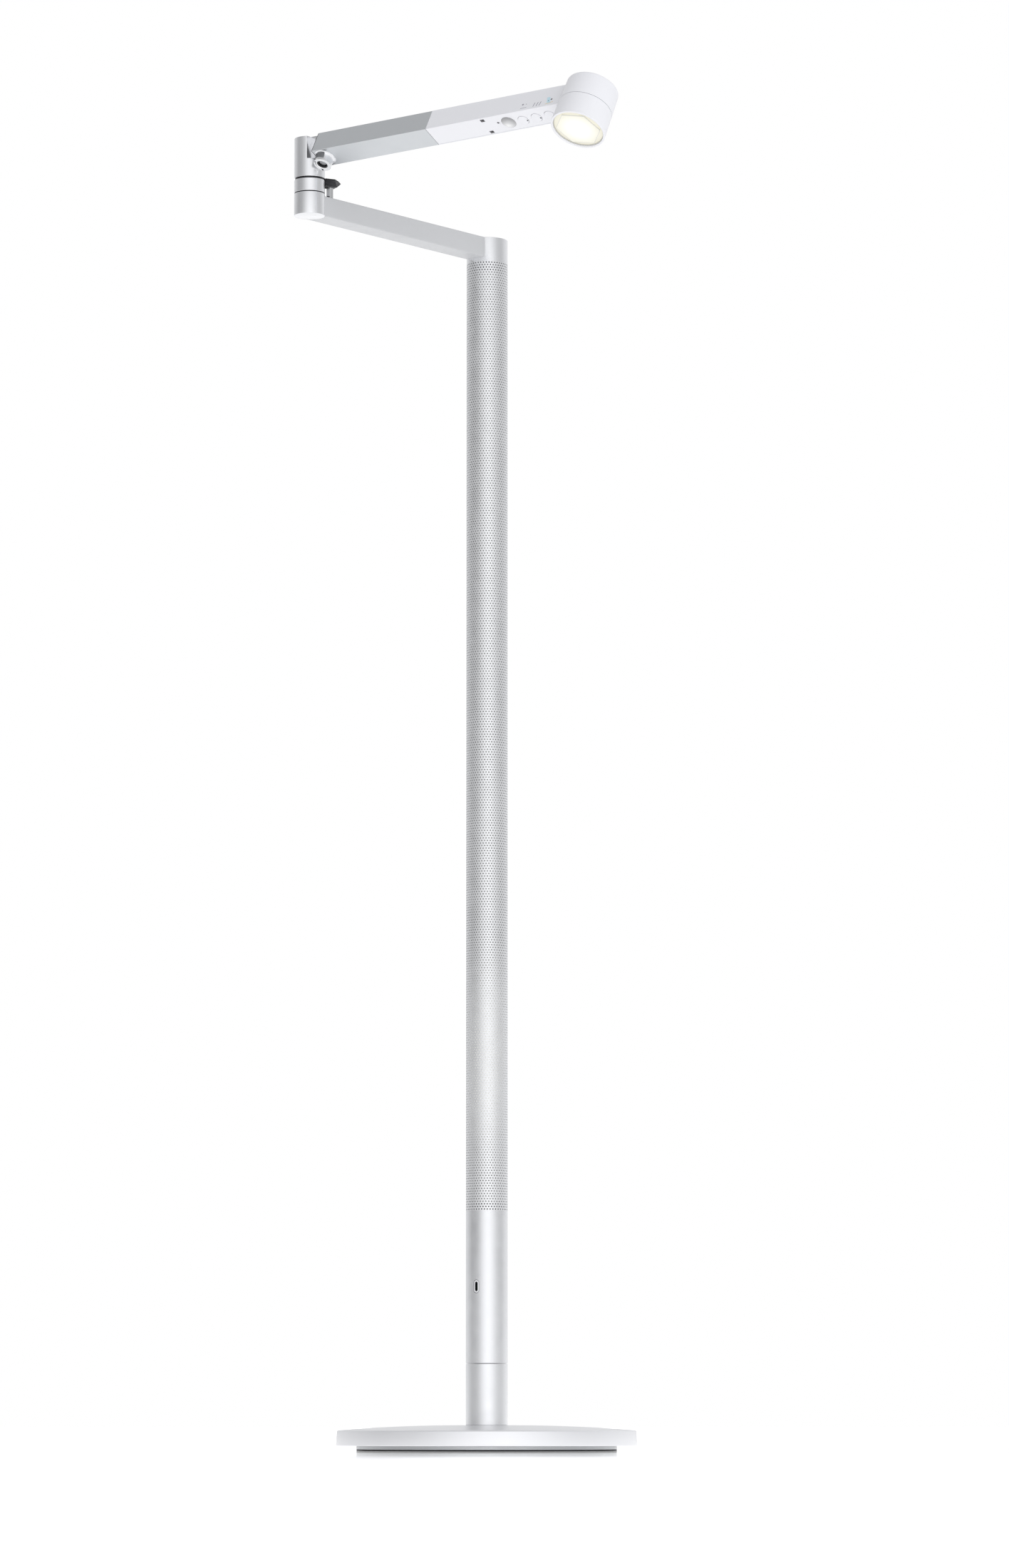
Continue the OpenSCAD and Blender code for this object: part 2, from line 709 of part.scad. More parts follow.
module dock_socket() color("#1b1c1f") boss_frame() translate([0, 0, -boss_h - dock_h + 1]) difference() {
    cylinder(r = dock_hole_r - snug, h = socket_depth + socket_floor);
    translate([0, 0, -eps]) cylinder(r = dock_hole_r - socket_wall, h = socket_depth + eps);
}

module dock_magnet() color("#8d9094") boss_frame()
    translate([0, 0, -boss_h - dock_h + 1 + socket_depth - magnet_h])
        cylinder(r = magnet_r, h = magnet_h - 0.02);

module boss_grille() color("#7b7e82") boss_frame() intersection() {
    block([-grille_w / 2 + snug, -boss_base_r, -boss_h + 0.55],
          [grille_w / 2 - snug, grille_y - snug, -0.55]);
    translate([0, 0, -boss_h]) union() {
        difference() {
            cylinder(r = grille_r, h = boss_h);
            translate([0, 0, -eps]) cylinder(r = grille_r - grille_t, h = boss_h + 2 * eps);
        }
        for (i = [0 : grille_ribs - 1]) rotate([0, 0, -90 + (i - (grille_ribs - 1) / 2) * grille_step])
            translate([grille_r - 0.1, -0.2, 0]) cube([0.35, 0.4, boss_h]);
    }
}

module heat_pipe() color("#b87333") arm_frame()
    translate([0, 0, pipe_z]) rod_x(pipe_r, pipe_start, pipe_end);

module head_cone(grow) translate([0, 0, mouth_z])
    cylinder(r1 = mouth_d / 2 + grow, r2 = head_top_d / 2 + grow, h = head_h);

module optic_housing() color("#eef0f2") arm_frame() difference() {
    block([housing_start, -upper_w / 2, -upper_h / 2], [head_reach, upper_w / 2, upper_h / 2]);
    translate([head_reach, 0, 0]) head_cone(snug);
    block([housing_start + 1.2, -upper_w / 2 + housing_wall, -upper_h / 2 + housing_wall],
          [head_reach, upper_w / 2 - housing_wall, upper_h / 2 - housing_wall]);
    block([housing_start - 1, -cover_w / 2 - snug, -upper_h / 2 - 1],
          [head_reach, cover_w / 2 + snug, cover_face + cover_t + snug]);
    translate([0, 0, pipe_z]) rod_x(pipe_r + 0.1, housing_start - 1, housing_start + 4);
}

module optic_cover() color("#f2f3f5") arm_frame() difference() {
    block([housing_start, -cover_w / 2, cover_face], [head_reach, cover_w / 2, cover_face + cover_t]);
    translate([head_reach, 0, 0]) head_cone(snug);
    for (x = buttons_x) translate([x, buttons_y, cover_face - eps]) cylinder(r = button_hole_r, h = 5);
    translate([dome_x, 0, cover_face - eps]) cylinder(r = dome_r + snug, h = 5);
    for (side = [-1, 1]) translate([window_x, side * window_y, 0])
        block([-window_size.x / 2 - snug, -window_size.y / 2 - snug, cover_face - 1],
              [window_size.x / 2 + snug, window_size.y / 2 + snug, 0]);
    translate([sensor_x, sensor_y - sensor_r, cover_face + scoop_depth - scoop_r])
        rotate([-90 - scoop_slope, 0, 0]) cylinder(r = scoop_r, h = 8);
    translate([sensor_x, sensor_y, cover_face]) cylinder(r = sensor_r + snug, h = 5, $fn = small_fn);
}

module sensor_windows() color("#26272a") arm_frame() {
    for (side = [-1, 1]) translate([window_x, side * window_y, 0])
        block([-window_size.x / 2, -window_size.y / 2, cover_face + 0.25],
              [window_size.x / 2, window_size.y / 2, cover_face + cover_t]);
    translate([sensor_x, sensor_y, cover_face + scoop_depth - 0.1])
        cylinder(r = sensor_r, h = cover_t - scoop_depth, $fn = small_fn);
}

module dome_cap(r, h)
    let (ball = (r * r + h * h) / (2 * h))
    intersection() {
        translate([0, 0, ball - h]) sphere(r = ball);
        translate([0, 0, -h - eps]) cylinder(r = r, h = h + eps);
    }

module pir_lens() color("#dfe1e3") arm_frame() translate([dome_x, 0, cover_face]) difference() {
    union() {
        dome_cap(dome_r, dome_h);
        cylinder(r = dome_r, h = cover_t + 0.1);
        translate([0, 0, cover_t + 0.05]) cylinder(r = dome_r + 1, h = dome_flange);
    }
    dome_cap(dome_r - dome_wall, dome_h - dome_wall);
    translate([0, 0, -0.01]) cylinder(r = dome_r - dome_wall, h = 5);
}

module control_board() color("#1f5c3a") arm_frame() {
    block([board_span[0], -board_w / 2, board_z - board_t], [board_span[1], board_w / 2, board_z]);
    for (x = buttons_x) translate([x, buttons_y, 0])
        block([-switch_size / 2, -switch_size / 2, switch_z],
              [switch_size / 2, switch_size / 2, board_z - board_t]);
    translate([dome_x, 0, board_z - board_t - pir_h]) cylinder(r = pir_r, h = pir_h, $fn = small_fn);
}

module status_leds() color("#2a2b2e") arm_frame() for (x = buttons_x)
    translate([x + led_offset.x, buttons_y + led_offset.y, led_face])
        cylinder(r = led_r, h = board_z - board_t - led_face - 0.02, $fn = small_fn);

module push_button(x) color("#f4f5f6") arm_frame() translate([x, buttons_y, 0]) difference() {
    union() {
        translate([0, 0, button_face]) cylinder(r = button_r, h = button_flange_z - button_face + 0.1);
        translate([0, 0, button_flange_z]) cylinder(r = button_flange_r, h = button_flange_t);
        translate([0, 0, button_flange_z])
            cylinder(r = button_stem_r, h = button_stem_top - button_flange_z, $fn = small_fn);
    }
    translate([led_offset.x, led_offset.y, button_face - eps])
        cylinder(r = led_hole_r, h = 6, $fn = small_fn);
}

module power_button() push_button(buttons_x[0]);
module brightness_button() push_button(buttons_x[1]);
module warmth_button() push_button(buttons_x[2]);

// ---- head ----

function cap_outline() = concat(
    [[0, seam_z], [head_r(seam_z), seam_z]],
    [for (a = [0 : 15 : 90])
        [head_r(head_top) - head_edge + head_edge * cos(a), head_top - head_edge + head_edge * sin(a)]],
    [[0, head_top]]
);

module head_cap() color("#f4f5f7") head_frame() difference() {
    rotate_extrude() polygon(cap_outline());
    translate([0, 0, seam_z - eps]) cylinder(r = head_r(0) - head_wall, h = cap_h - head_wall + eps);
    translate([0, 0, pipe_z]) rod_x(pipe_r + 0.3, -head_top_d, 0, $fn = small_fn);
}

module head_shade() color("#f4f5f7") head_frame() difference() {
    union() {
        translate([0, 0, mouth_z])
            cylinder(r1 = mouth_d / 2, r2 = head_r(shade_top), h = shade_top - mouth_z);
        translate([0, 0, shade_top - 1]) cylinder(r = spigot_r, h = spigot_top - shade_top + 1);
    }
    translate([0, 0, mouth_z - eps])
        cylinder(r1 = mouth_d / 2 - head_wall, r2 = head_r(shade_top) - head_wall,
                 h = shade_top - 4 - mouth_z + eps);
    translate([0, 0, shade_top - 5]) cylinder(r = spigot_r - spigot_wall, h = 20);
}

module heat_sink() color("#a8abb0") head_frame() difference() {
    intersection() {
        translate([0, 0, sink_low]) cylinder(r = sink_r, h = sink_top - sink_low);
        union() {
            block([-sink_r, -sink_r, sink_low], [sink_r, sink_r, spigot_top]);
            for (i = [0 : fins - 1])
                translate([(i - (fins - 1) / 2) * fin_pitch - fin_t / 2, -sink_r, spigot_top - 1])
                    cube([fin_t, 2 * sink_r, sink_top - spigot_top + 1]);
        }
    }
    translate([0, 0, pipe_z]) rod_x(pipe_r + 0.03, -sink_r - 1, sink_r + 1);
}

module led_board() color("#f0f1f2") head_frame()
    translate([0, 0, led_board_z]) cylinder(r = led_board_r, h = led_board_t);

module led_chips() color("#ffe9b0") head_frame()
    translate([0, 0, chip_z]) {
        for (i = [0 : chips - 1]) rotate([0, 0, i * 360 / chips]) translate([chip_ring_r, 0, chip_t / 2])
            cube([chip_size, chip_size, chip_t], center = true);
        translate([0, 0, chip_t / 2]) cube([chip_size, chip_size, chip_t], center = true);
    }

module hex_cone(r_low, r_high, z_low, z_high)
    translate([0, 0, z_low]) rotate([0, 0, lens_turn])
        cylinder(r1 = r_low, r2 = r_high, h = z_high - z_low, $fn = 6);

module reflector() color("#f5f5f0") head_frame() difference() {
    hex_cone(reflector_out_r, reflector_in_r + reflector_wall, reflector_low, reflector_top);
    hex_cone(reflector_out_r - reflector_wall, reflector_in_r, reflector_low - 0.01, reflector_top + 0.01);
}

module head_lens() color("#fffbe8") head_frame() {
    hex_cone(lens_hex_r, lens_hex_r, lens_face, lens_face + lens_hex_t + 0.1);
    translate([0, 0, lens_face + lens_hex_t]) cylinder(r = lens_flange_r, h = lens_flange_t);
}

foot_pad();
base_cover();
ballast_plate();
base_disc();
base_screws();
dc_inlet();
base_lead();
swivel_post();
stem_collar();
thrust_washer();
post_nut();
stem_foot();
swivel_bushes();
stem_tube();
port_bezel();
usb_port();
usb_board();
electronics_sled();
driver_board();
diffuser_tube();
hub_core();
hub_window();
hub_screws();
power_cable();
lower_arm();
elbow_shaft();
elbow_ring();
rest_bumper();
rest_post();
elbow_nut();
upper_knuckle();
knuckle_cap();
elbow_bush();
roll_shaft();
roll_nut();
arm_profile();
arm_end_plug();
roll_bushes();
dock_boss();
dock_ring();
dock_socket();
dock_magnet();
boss_grille();
heat_pipe();
optic_housing();
optic_cover();
control_board();
status_leds();
sensor_windows();
pir_lens();
head_cap();
head_shade();
heat_sink();
led_board();
led_chips();
reflector();
head_lens();
power_button();
brightness_button();
warmth_button();
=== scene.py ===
"""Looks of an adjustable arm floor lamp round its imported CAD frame, in metres and the frame's axes."""

import json
import math

import bmesh
import bpy
import numpy as np
from mathutils import Matrix, Vector

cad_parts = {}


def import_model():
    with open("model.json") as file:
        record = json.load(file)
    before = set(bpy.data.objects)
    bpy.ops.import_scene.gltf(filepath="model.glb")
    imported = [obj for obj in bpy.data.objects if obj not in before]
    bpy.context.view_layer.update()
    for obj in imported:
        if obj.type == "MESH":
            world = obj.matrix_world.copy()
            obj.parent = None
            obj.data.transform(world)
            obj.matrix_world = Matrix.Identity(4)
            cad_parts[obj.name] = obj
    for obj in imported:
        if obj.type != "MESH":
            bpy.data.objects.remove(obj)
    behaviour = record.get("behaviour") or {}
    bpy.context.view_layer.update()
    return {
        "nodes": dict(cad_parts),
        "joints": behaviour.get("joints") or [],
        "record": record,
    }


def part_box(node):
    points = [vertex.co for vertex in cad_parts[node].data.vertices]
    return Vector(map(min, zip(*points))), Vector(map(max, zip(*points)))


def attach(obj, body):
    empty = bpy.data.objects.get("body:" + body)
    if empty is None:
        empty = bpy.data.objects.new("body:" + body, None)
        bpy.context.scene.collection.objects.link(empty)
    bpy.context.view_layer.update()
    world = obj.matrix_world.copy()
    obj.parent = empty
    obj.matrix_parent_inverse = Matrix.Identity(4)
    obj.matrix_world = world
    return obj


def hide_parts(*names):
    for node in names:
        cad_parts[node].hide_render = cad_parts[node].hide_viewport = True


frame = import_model()
nodes = frame["nodes"]
joints = {j["name"]: j for j in frame["joints"]}
MM = 0.001

# ---------------------------------------------------------------- local frames


def axes_matrix(origin, x_axis, z_axis):
    """A frame at origin, with its x and z along those directions."""
    x = Vector(x_axis).normalized()
    z = Vector(z_axis).normalized()
    y = z.cross(x)
    m = Matrix((x, y, z)).transposed().to_4x4()
    m.translation = Vector(origin)
    return m


elbow_at = Vector(joints["elbow_swivel"]["pos_m"])
roll_at = Vector(joints["arm_roll"]["pos_m"])
arm_dir = Vector(joints["arm_roll"]["axis"])
press_dir = Vector(joints["power_button_press"]["axis"])
ARM = axes_matrix((elbow_at.x, elbow_at.y, roll_at.z), arm_dir, press_dir)
LOWER = axes_matrix((0, 0, 0), (elbow_at.x, elbow_at.y, 0), (0, 0, 1))
ELBOW = Matrix.Translation((elbow_at.x, elbow_at.y, 0))
ENDWAYS = Matrix(((0, 0, 1, 0), (1, 0, 0, 0), (0, 1, 0, 0), (0, 0, 0, 1)))


def local_box(node, matrix):
    """Lowest and highest corner of a CAD node along the axes of a local frame."""
    inverse = matrix.inverted()
    mesh = nodes[node].data
    co = np.empty(len(mesh.vertices) * 3)
    mesh.vertices.foreach_get("co", co)
    co = co.reshape(-1, 3) @ np.array(inverse.to_3x3()).T + np.array(inverse.translation)
    return Vector(co.min(0)), Vector(co.max(0))


def head_matrix():
    """The head's own frame: its z is the head's axis, its origin on the arm's axis."""
    low, high = local_box("head_shade", ARM)
    m = ARM.copy()
    m.translation = ARM @ Vector(((low.x + high.x) / 2, 0, 0))
    return m


HEAD = head_matrix()

# ---------------------------------------------------------------- materials


def socket(node, name, value):
    """Sets the default value of a node's input."""
    node.inputs[name].default_value = value


def new_material(name):
    """A material with an empty node tree, and that tree."""
    m = bpy.data.materials.new(name)
    m.use_nodes = True
    m.node_tree.nodes.clear()
    return m, m.node_tree


def add(tree, kind, **values):
    """A new node with those attributes."""
    n = tree.nodes.new(kind)
    for key, value in values.items():
        setattr(n, key, value)
    return n


def noise(tree, coords, scale, detail=2.0, roughness=0.5):
    """Noise at those coordinates, near 0.5 on average."""
    n = add(tree, "ShaderNodeTexNoise")
    socket(n, "Scale", scale)
    socket(n, "Detail", detail)
    socket(n, "Roughness", roughness)
    tree.links.new(coords, n.inputs["Vector"])
    return n.outputs["Fac"]


def ramp(tree, fac, low, high, start=0.35, end=0.65):
    """Maps start..end to low..high, clamped."""
    n = add(tree, "ShaderNodeMapRange")
    socket(n, "From Min", start)
    socket(n, "From Max", end)
    socket(n, "To Min", low)
    socket(n, "To Max", high)
    tree.links.new(fac, n.inputs["Value"])
    return n.outputs["Result"]


def colours(tree, fac, first, second):
    """Mixes two colours."""
    n = add(tree, "ShaderNodeMix", data_type="RGBA")
    n.inputs[6].default_value = (*first, 1)
    n.inputs[7].default_value = (*second, 1)
    tree.links.new(fac, n.inputs[0])
    return n.outputs[2]


def object_coords(tree, stretch=(1, 1, 1)):
    """Object coordinates, scaled along each axis."""
    tc = add(tree, "ShaderNodeTexCoord")
    mp = add(tree, "ShaderNodeMapping")
    socket(mp, "Scale", stretch)
    tree.links.new(tc.outputs["Object"], mp.inputs["Vector"])
    return mp.outputs["Vector"]


def local_coords(tree, matrix):
    """Object coordinates turned into a local frame."""
    inverse = matrix.inverted()
    tc = add(tree, "ShaderNodeTexCoord")
    mp = add(tree, "ShaderNodeMapping")
    socket(mp, "Location", inverse.translation)
    socket(mp, "Rotation", inverse.to_euler())
    tree.links.new(tc.outputs["Object"], mp.inputs["Vector"])
    return mp.outputs["Vector"]


def from_axis(tree, coords):
    """Distance from a local frame's z axis."""
    flat = add(tree, "ShaderNodeVectorMath", operation="MULTIPLY")
    flat.inputs[1].default_value = (1, 1, 0)
    tree.links.new(coords, flat.inputs[0])
    size = add(tree, "ShaderNodeVectorMath", operation="LENGTH")
    tree.links.new(flat.outputs[0], size.inputs[0])
    return size.outputs["Value"]


def finish_material(tree, shader):
    """Links a shader to the material's output."""
    out = add(tree, "ShaderNodeOutputMaterial")
    tree.links.new(shader.outputs[0], out.inputs["Surface"])


GRAIN_DEPTH = 0.2 * MM


def surface(name, colour, rough, metallic=0.0, tint=0.02, grain=1500.0, bump=0.02, stretch=(1, 1, 1),
            rough_spread=0.04, ior=1.5):
    """Fine grain in the bump, and a slow drift in colour and gloss."""
    m, tree = new_material(name)
    bsdf = add(tree, "ShaderNodeBsdfPrincipled")
    coords = object_coords(tree, stretch)
    plain = object_coords(tree)
    drift = noise(tree, plain, 14.0, 3.0)
    darker = tuple(max(0.0, c * (1 - tint)) for c in colour)
    lighter = tuple(min(1.0, c * (1 + tint * 0.6)) for c in colour)
    tree.links.new(colours(tree, drift, darker, lighter), bsdf.inputs["Base Color"])
    fine = noise(tree, coords, grain, 2.0, 0.6)
    patches = noise(tree, plain, 60.0, 4.0)
    gloss = ramp(tree, patches, rough - rough_spread, rough + rough_spread)
    tree.links.new(gloss, bsdf.inputs["Roughness"])
    b = add(tree, "ShaderNodeBump")
    socket(b, "Strength", bump)
    socket(b, "Distance", GRAIN_DEPTH)
    tree.links.new(fine, b.inputs["Height"])
    tree.links.new(b.outputs["Normal"], bsdf.inputs["Normal"])
    socket(bsdf, "Metallic", metallic)
    socket(bsdf, "IOR", ior)
    finish_material(tree, bsdf)
    return m


MATERIALS = {
    "white_paint": surface("white_paint", (0.88, 0.882, 0.905), 0.29, metallic=0.45, tint=0.01,
                           grain=2600, bump=0.006, rough_spread=0.006),
    "silver": surface("silver", (0.86, 0.865, 0.885), 0.21, metallic=0.9, grain=3200, bump=0.04),
    "arm_silver": surface("arm_silver", (0.61, 0.615, 0.63), 0.38, metallic=0.2, grain=3200, bump=0.04),
    "grey_profile": surface("grey_profile", (0.67, 0.69, 0.71), 0.42, metallic=0.8, grain=3000,
                            bump=0.05),
    "steel": surface("steel", (0.5, 0.51, 0.52), 0.35, metallic=1.0, stretch=(1, 1, 12)),
    "bright_ring": surface("bright_ring", (0.9, 0.905, 0.91), 0.08, metallic=1.0, bump=0.01,
                           rough_spread=0.02),
    "ballast_iron": surface("ballast_iron", (0.2, 0.2, 0.21), 0.6, metallic=0.9, bump=0.2, grain=900),
    "bronze": surface("bronze", (0.6, 0.42, 0.2), 0.4, metallic=1.0),
    "copper": surface("copper", (0.75, 0.4, 0.25), 0.35, metallic=1.0),
    "grey_plastic": surface("grey_plastic", (0.20, 0.205, 0.215), 0.42, grain=1800, bump=0.05),
    "black_plastic": surface("black_plastic", (0.012, 0.012, 0.015), 0.3, grain=1800, bump=0.06),
    "pad_rubber": surface("pad_rubber", (0.02, 0.02, 0.022), 0.85, grain=900, bump=0.2, ior=1.25),
    "cable_jacket": surface("cable_jacket", (0.02, 0.02, 0.022), 0.5),
    "white_plastic": surface("white_plastic", (0.865, 0.866, 0.90), 0.34, grain=2400, bump=0.02),
    "board_green": surface("board_green", (0.006, 0.04, 0.018), 0.45),
    "board_white": surface("board_white", (0.85, 0.85, 0.85), 0.5),
    "led_phosphor": surface("led_phosphor", (0.9, 0.75, 0.35), 0.5),
    "dark_window": surface("dark_window", (0.10, 0.10, 0.11), 0.2),
}
PIN_STEEL = surface("pin_steel", (0.72, 0.725, 0.73), 0.14, metallic=1.0, bump=0.01, rough_spread=0.02)
MESH_METAL = surface("mesh_metal", (0.86, 0.865, 0.88), 0.36, metallic=0.85, grain=3200, bump=0.02)
# Dark grey for inner parts: painted shade, for the dark inside of the stem seen through its holes.
SHADE_SEEN_THROUGH_HOLES = surface("painted_shade_grey", (0.12, 0.12, 0.125), 0.5, metallic=0.4, bump=0.02)
INKS = {
    "black": surface("lens_black", (0.006, 0.006, 0.008), 0.1, grain=2600),
    "dark": surface("ink_dark", (0.10, 0.11, 0.13), 0.5, grain=2600),
    "grey": surface("ink_grey", (0.36, 0.35, 0.40), 0.5, grain=2600),
    "blue": surface("ink_blue", (0.60, 0.80, 0.90), 0.5, grain=2600),
    "amber": surface("ink_amber", (0.78, 0.62, 0.36), 0.5, grain=2600),
}


# Centre of the dome's painted highlight, and the distances over which it fades into painted shade.
DOME_HIGHLIGHT_AT = (239.6 * MM, 1.9 * MM, 0)
DOME_HIGHLIGHT_FADE = (1.2 * MM, 8.2 * MM)
DOME_SPECKLE = 0.12


def dome_material():
    """Smoked grey lens of the motion sensor with a painted highlight: pale round a spot off its centre,
    darkening outwards into painted shade towards the rim, with a faint random speckle.
    """
    m, tree = new_material("dome_plastic")
    bsdf = add(tree, "ShaderNodeBsdfPrincipled")
    spot = local_coords(tree, ARM @ Matrix.Translation(DOME_HIGHLIGHT_AT))
    drift = noise(tree, spot, 420.0, 3.0)
    clear = ramp(tree, from_axis(tree, spot), 0.9, 0.0, *DOME_HIGHLIGHT_FADE)
    speckle_and_highlight = add(tree, "ShaderNodeMath", operation="MULTIPLY_ADD")
    tree.links.new(drift, speckle_and_highlight.inputs[0])
    speckle_and_highlight.inputs[1].default_value = DOME_SPECKLE
    tree.links.new(clear, speckle_and_highlight.inputs[2])
    tree.links.new(colours(tree, speckle_and_highlight.outputs[0], (0.30, 0.30, 0.31), (0.90, 0.90, 0.91)),
                   bsdf.inputs["Base Color"])
    socket(bsdf, "Roughness", 0.16)
    socket(bsdf, "Coat Weight", 0.4)
    finish_material(tree, bsdf)
    return m


GLOW_LOW = (0.255, 0.335)
GLOW_HIGH = (0.49, 0.385)
GLOW_STRENGTH = 0.32
DIFFUSER_REST = 0.045


def diffuser_material():
    """White diffuser that glows softly in a band above the driver."""
    m, tree = new_material("diffuser_white")
    bsdf = add(tree, "ShaderNodeBsdfPrincipled")
    coords = object_coords(tree)
    drift = noise(tree, coords, 30.0)
    white = colours(tree, drift, (0.84, 0.84, 0.82), (0.88, 0.88, 0.86))
    tree.links.new(white, bsdf.inputs["Base Color"])
    split = add(tree, "ShaderNodeSeparateXYZ")
    tree.links.new(coords, split.inputs[0])
    edges = []
    for start, end in (GLOW_LOW, GLOW_HIGH):
        edge = add(tree, "ShaderNodeMapRange", interpolation_type="SMOOTHSTEP")
        socket(edge, "From Min", start)
        socket(edge, "From Max", end)
        tree.links.new(split.outputs["Z"], edge.inputs["Value"])
        edges.append(edge.outputs["Result"])
    both = add(tree, "ShaderNodeMath", operation="MULTIPLY")
    tree.links.new(edges[0], both.inputs[0])
    tree.links.new(edges[1], both.inputs[1])
    strength = add(tree, "ShaderNodeMath", operation="MULTIPLY_ADD")
    tree.links.new(both.outputs[0], strength.inputs[0])
    strength.inputs[1].default_value = GLOW_STRENGTH
    strength.inputs[2].default_value = DIFFUSER_REST
    socket(bsdf, "Emission Color", (1.0, 0.99, 0.94, 1))
    tree.links.new(strength.outputs[0], bsdf.inputs["Emission Strength"])
    socket(bsdf, "Roughness", 0.5)
    finish_material(tree, bsdf)
    return m


LENS_WARMING = (9 * MM, 23 * MM)
LENS_CENTRE = 0.60
LENS_RIM = 0.42


def lens_material():
    """Frosted lens, lit from behind: white in the middle, warmer and dimmer towards the rim."""
    m, tree = new_material("lens_glow")
    bsdf = add(tree, "ShaderNodeBsdfPrincipled")
    coords = local_coords(tree, HEAD)
    drift = noise(tree, coords, 90.0)
    frosted = colours(tree, drift, (0.46, 0.455, 0.42), (0.50, 0.495, 0.45))
    tree.links.new(frosted, bsdf.inputs["Base Color"])
    outer = ramp(tree, from_axis(tree, coords), 0.0, 1.0, *LENS_WARMING)
    warmer = colours(tree, outer, (1.0, 0.99, 0.95), (0.92, 0.87, 0.66))
    tree.links.new(warmer, bsdf.inputs["Emission Color"])
    tree.links.new(ramp(tree, outer, LENS_CENTRE, LENS_RIM, 0.0, 1.0), bsdf.inputs["Emission Strength"])
    socket(bsdf, "Roughness", 0.2)
    finish_material(tree, bsdf)
    return m


MATERIALS["diffuser_white"] = diffuser_material()
MATERIALS["lens_glow"] = lens_material()
MATERIALS["dome_plastic"] = dome_material()

# ---------------------------------------------------------------- mesh helpers


def link_mesh(name, mesh):
    """A mesh as an object of the scene."""
    obj = bpy.data.objects.new(name, mesh)
    bpy.context.scene.collection.objects.link(obj)
    return obj


def smooth(mesh, angle=30.0):
    """Smooth shading, but for edges sharper than the angle in degrees."""
    mesh.shade_smooth()
    mesh.set_sharp_from_angle(angle=math.radians(angle))


def put(obj, body, slot, *replaced):
    """The piece takes its slot's finish, rides on its body and stands for those CAD nodes."""
    obj.data.materials.clear()
    obj.data.materials.append(MATERIALS[slot])
    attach(obj, body)
    if replaced:
        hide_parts(*replaced)
    return obj


def from_bmesh(name, bm, angle=30.0, matrix=None):
    """Turns a bmesh into an object and frees it."""
    if matrix is not None:
        bmesh.ops.transform(bm, matrix=matrix, verts=bm.verts)
    bmesh.ops.recalc_face_normals(bm, faces=bm.faces)
    mesh = bpy.data.meshes.new(name)
    bm.to_mesh(mesh)
    bm.free()
    smooth(mesh, angle)
    return link_mesh(name, mesh)


def lathe(name, profile, matrix=None, steps=192, angle=30.0, closed=False):
    """Turns (radius, height) points round z. Points on the axis become one vertex."""
    bm = bmesh.new()
    rings = []
    for r, z in profile:
        if r < 1e-7:
            rings.append([bm.verts.new((0, 0, z))])
        else:
            turn = [2 * math.pi * i / steps for i in range(steps)]
            rings.append([bm.verts.new((r * math.cos(t), r * math.sin(t), z)) for t in turn])
    pairs = list(zip(rings, rings[1:]))
    if closed:
        pairs.append((rings[-1], rings[0]))
    for low, high in pairs:
        for i in range(steps):
            k = (i + 1) % steps
            quad = [low[i % len(low)], low[k % len(low)], high[k % len(high)], high[i % len(high)]]
            corners = list(dict.fromkeys(quad))
            if len(corners) > 2:
                bm.faces.new(corners)
    return from_bmesh(name, bm, angle, matrix)


def arc(cx, cz, r, start, end, steps):
    """Points of an arc in the (radius, height) plane, angles in degrees."""
    turn = [math.radians(start + (end - start) * i / steps) for i in range(steps + 1)]
    return [(cx + r * math.cos(t), cz + r * math.sin(t)) for t in turn]


def ring_sides(names):
    """Neighbours round a closed ring, in pairs."""
    return list(zip(names, names[1:] + names[:1]))


def prism(name, outline, low, high, matrix, angle=30.0):
    """A closed outline of (x, y) points, drawn out between two heights of a local frame."""
    bm = bmesh.new()
    below = [bm.verts.new((x, y, low)) for x, y in outline]
    above = [bm.verts.new((x, y, high)) for x, y in outline]
    bm.faces.new(below)
    bm.faces.new(above)
    for (a, b), (c, d) in zip(ring_sides(below), ring_sides(above)):
        bm.faces.new((a, b, d, c))
    return from_bmesh(name, bm, angle, matrix)


def baked(obj):
    """Applies an object's modifiers to its mesh."""
    depsgraph = bpy.context.evaluated_depsgraph_get()
    mesh = bpy.data.meshes.new_from_object(obj.evaluated_get(depsgraph))
    obj.modifiers.clear()
    obj.data = mesh
    return obj


def cut(obj, *cutters):
    """Cuts the cutters out of an object, and removes them."""
    for cutter in cutters:
        m = obj.modifiers.new("cut", "BOOLEAN")
        m.operation = "DIFFERENCE"
        m.solver = "EXACT"
        m.object = cutter
    baked(obj)
    for cutter in cutters:
        bpy.data.objects.remove(cutter)
    return obj


def edge_bevel(obj, width, segments=3, angle=35.0):
    """Rounds an object's sharp edges, width in mm."""
    bevel = obj.modifiers.new("edges", "BEVEL")
    bevel.width = width * MM
    bevel.segments = segments
    bevel.limit_method = "ANGLE"
    bevel.angle_limit = math.radians(angle)
    bevel.harden_normals = True
    bevel.use_clamp_overlap = True
    return baked(obj)


def cleaned(node):
    """A node's mesh without its triangulation, as a bmesh."""
    bm = bmesh.new()
    bm.from_mesh(nodes[node].data)
    bmesh.ops.remove_doubles(bm, verts=bm.verts, dist=2e-6)
    bmesh.ops.dissolve_limit(bm, angle_limit=math.radians(0.4), verts=bm.verts, edges=bm.edges)
    return bm


def refined(node, width=0.3, segments=3, angle=35.0):
    """A copy of a CAD node's shape with its sharp edges rounded, width in mm."""
    return edge_bevel(from_bmesh(node + "_skin", cleaned(node), angle), width, segments, angle)


def skin(node, body, slot, width=0.3, segments=3, angle=35.0):
    """The rounded copy of a CAD node, in the node's place."""
    return put(refined(node, width, segments, angle), body, slot, node)


# ---------------------------------------------------------------- CAD's own pieces

BODY_OF = {n: body for body, members in frame["record"]["behaviour"]["bodies"].items() for n in members}
NODE_SLOT = {part["node"]: part["material_slot"] for part in frame["record"]["subparts"]}


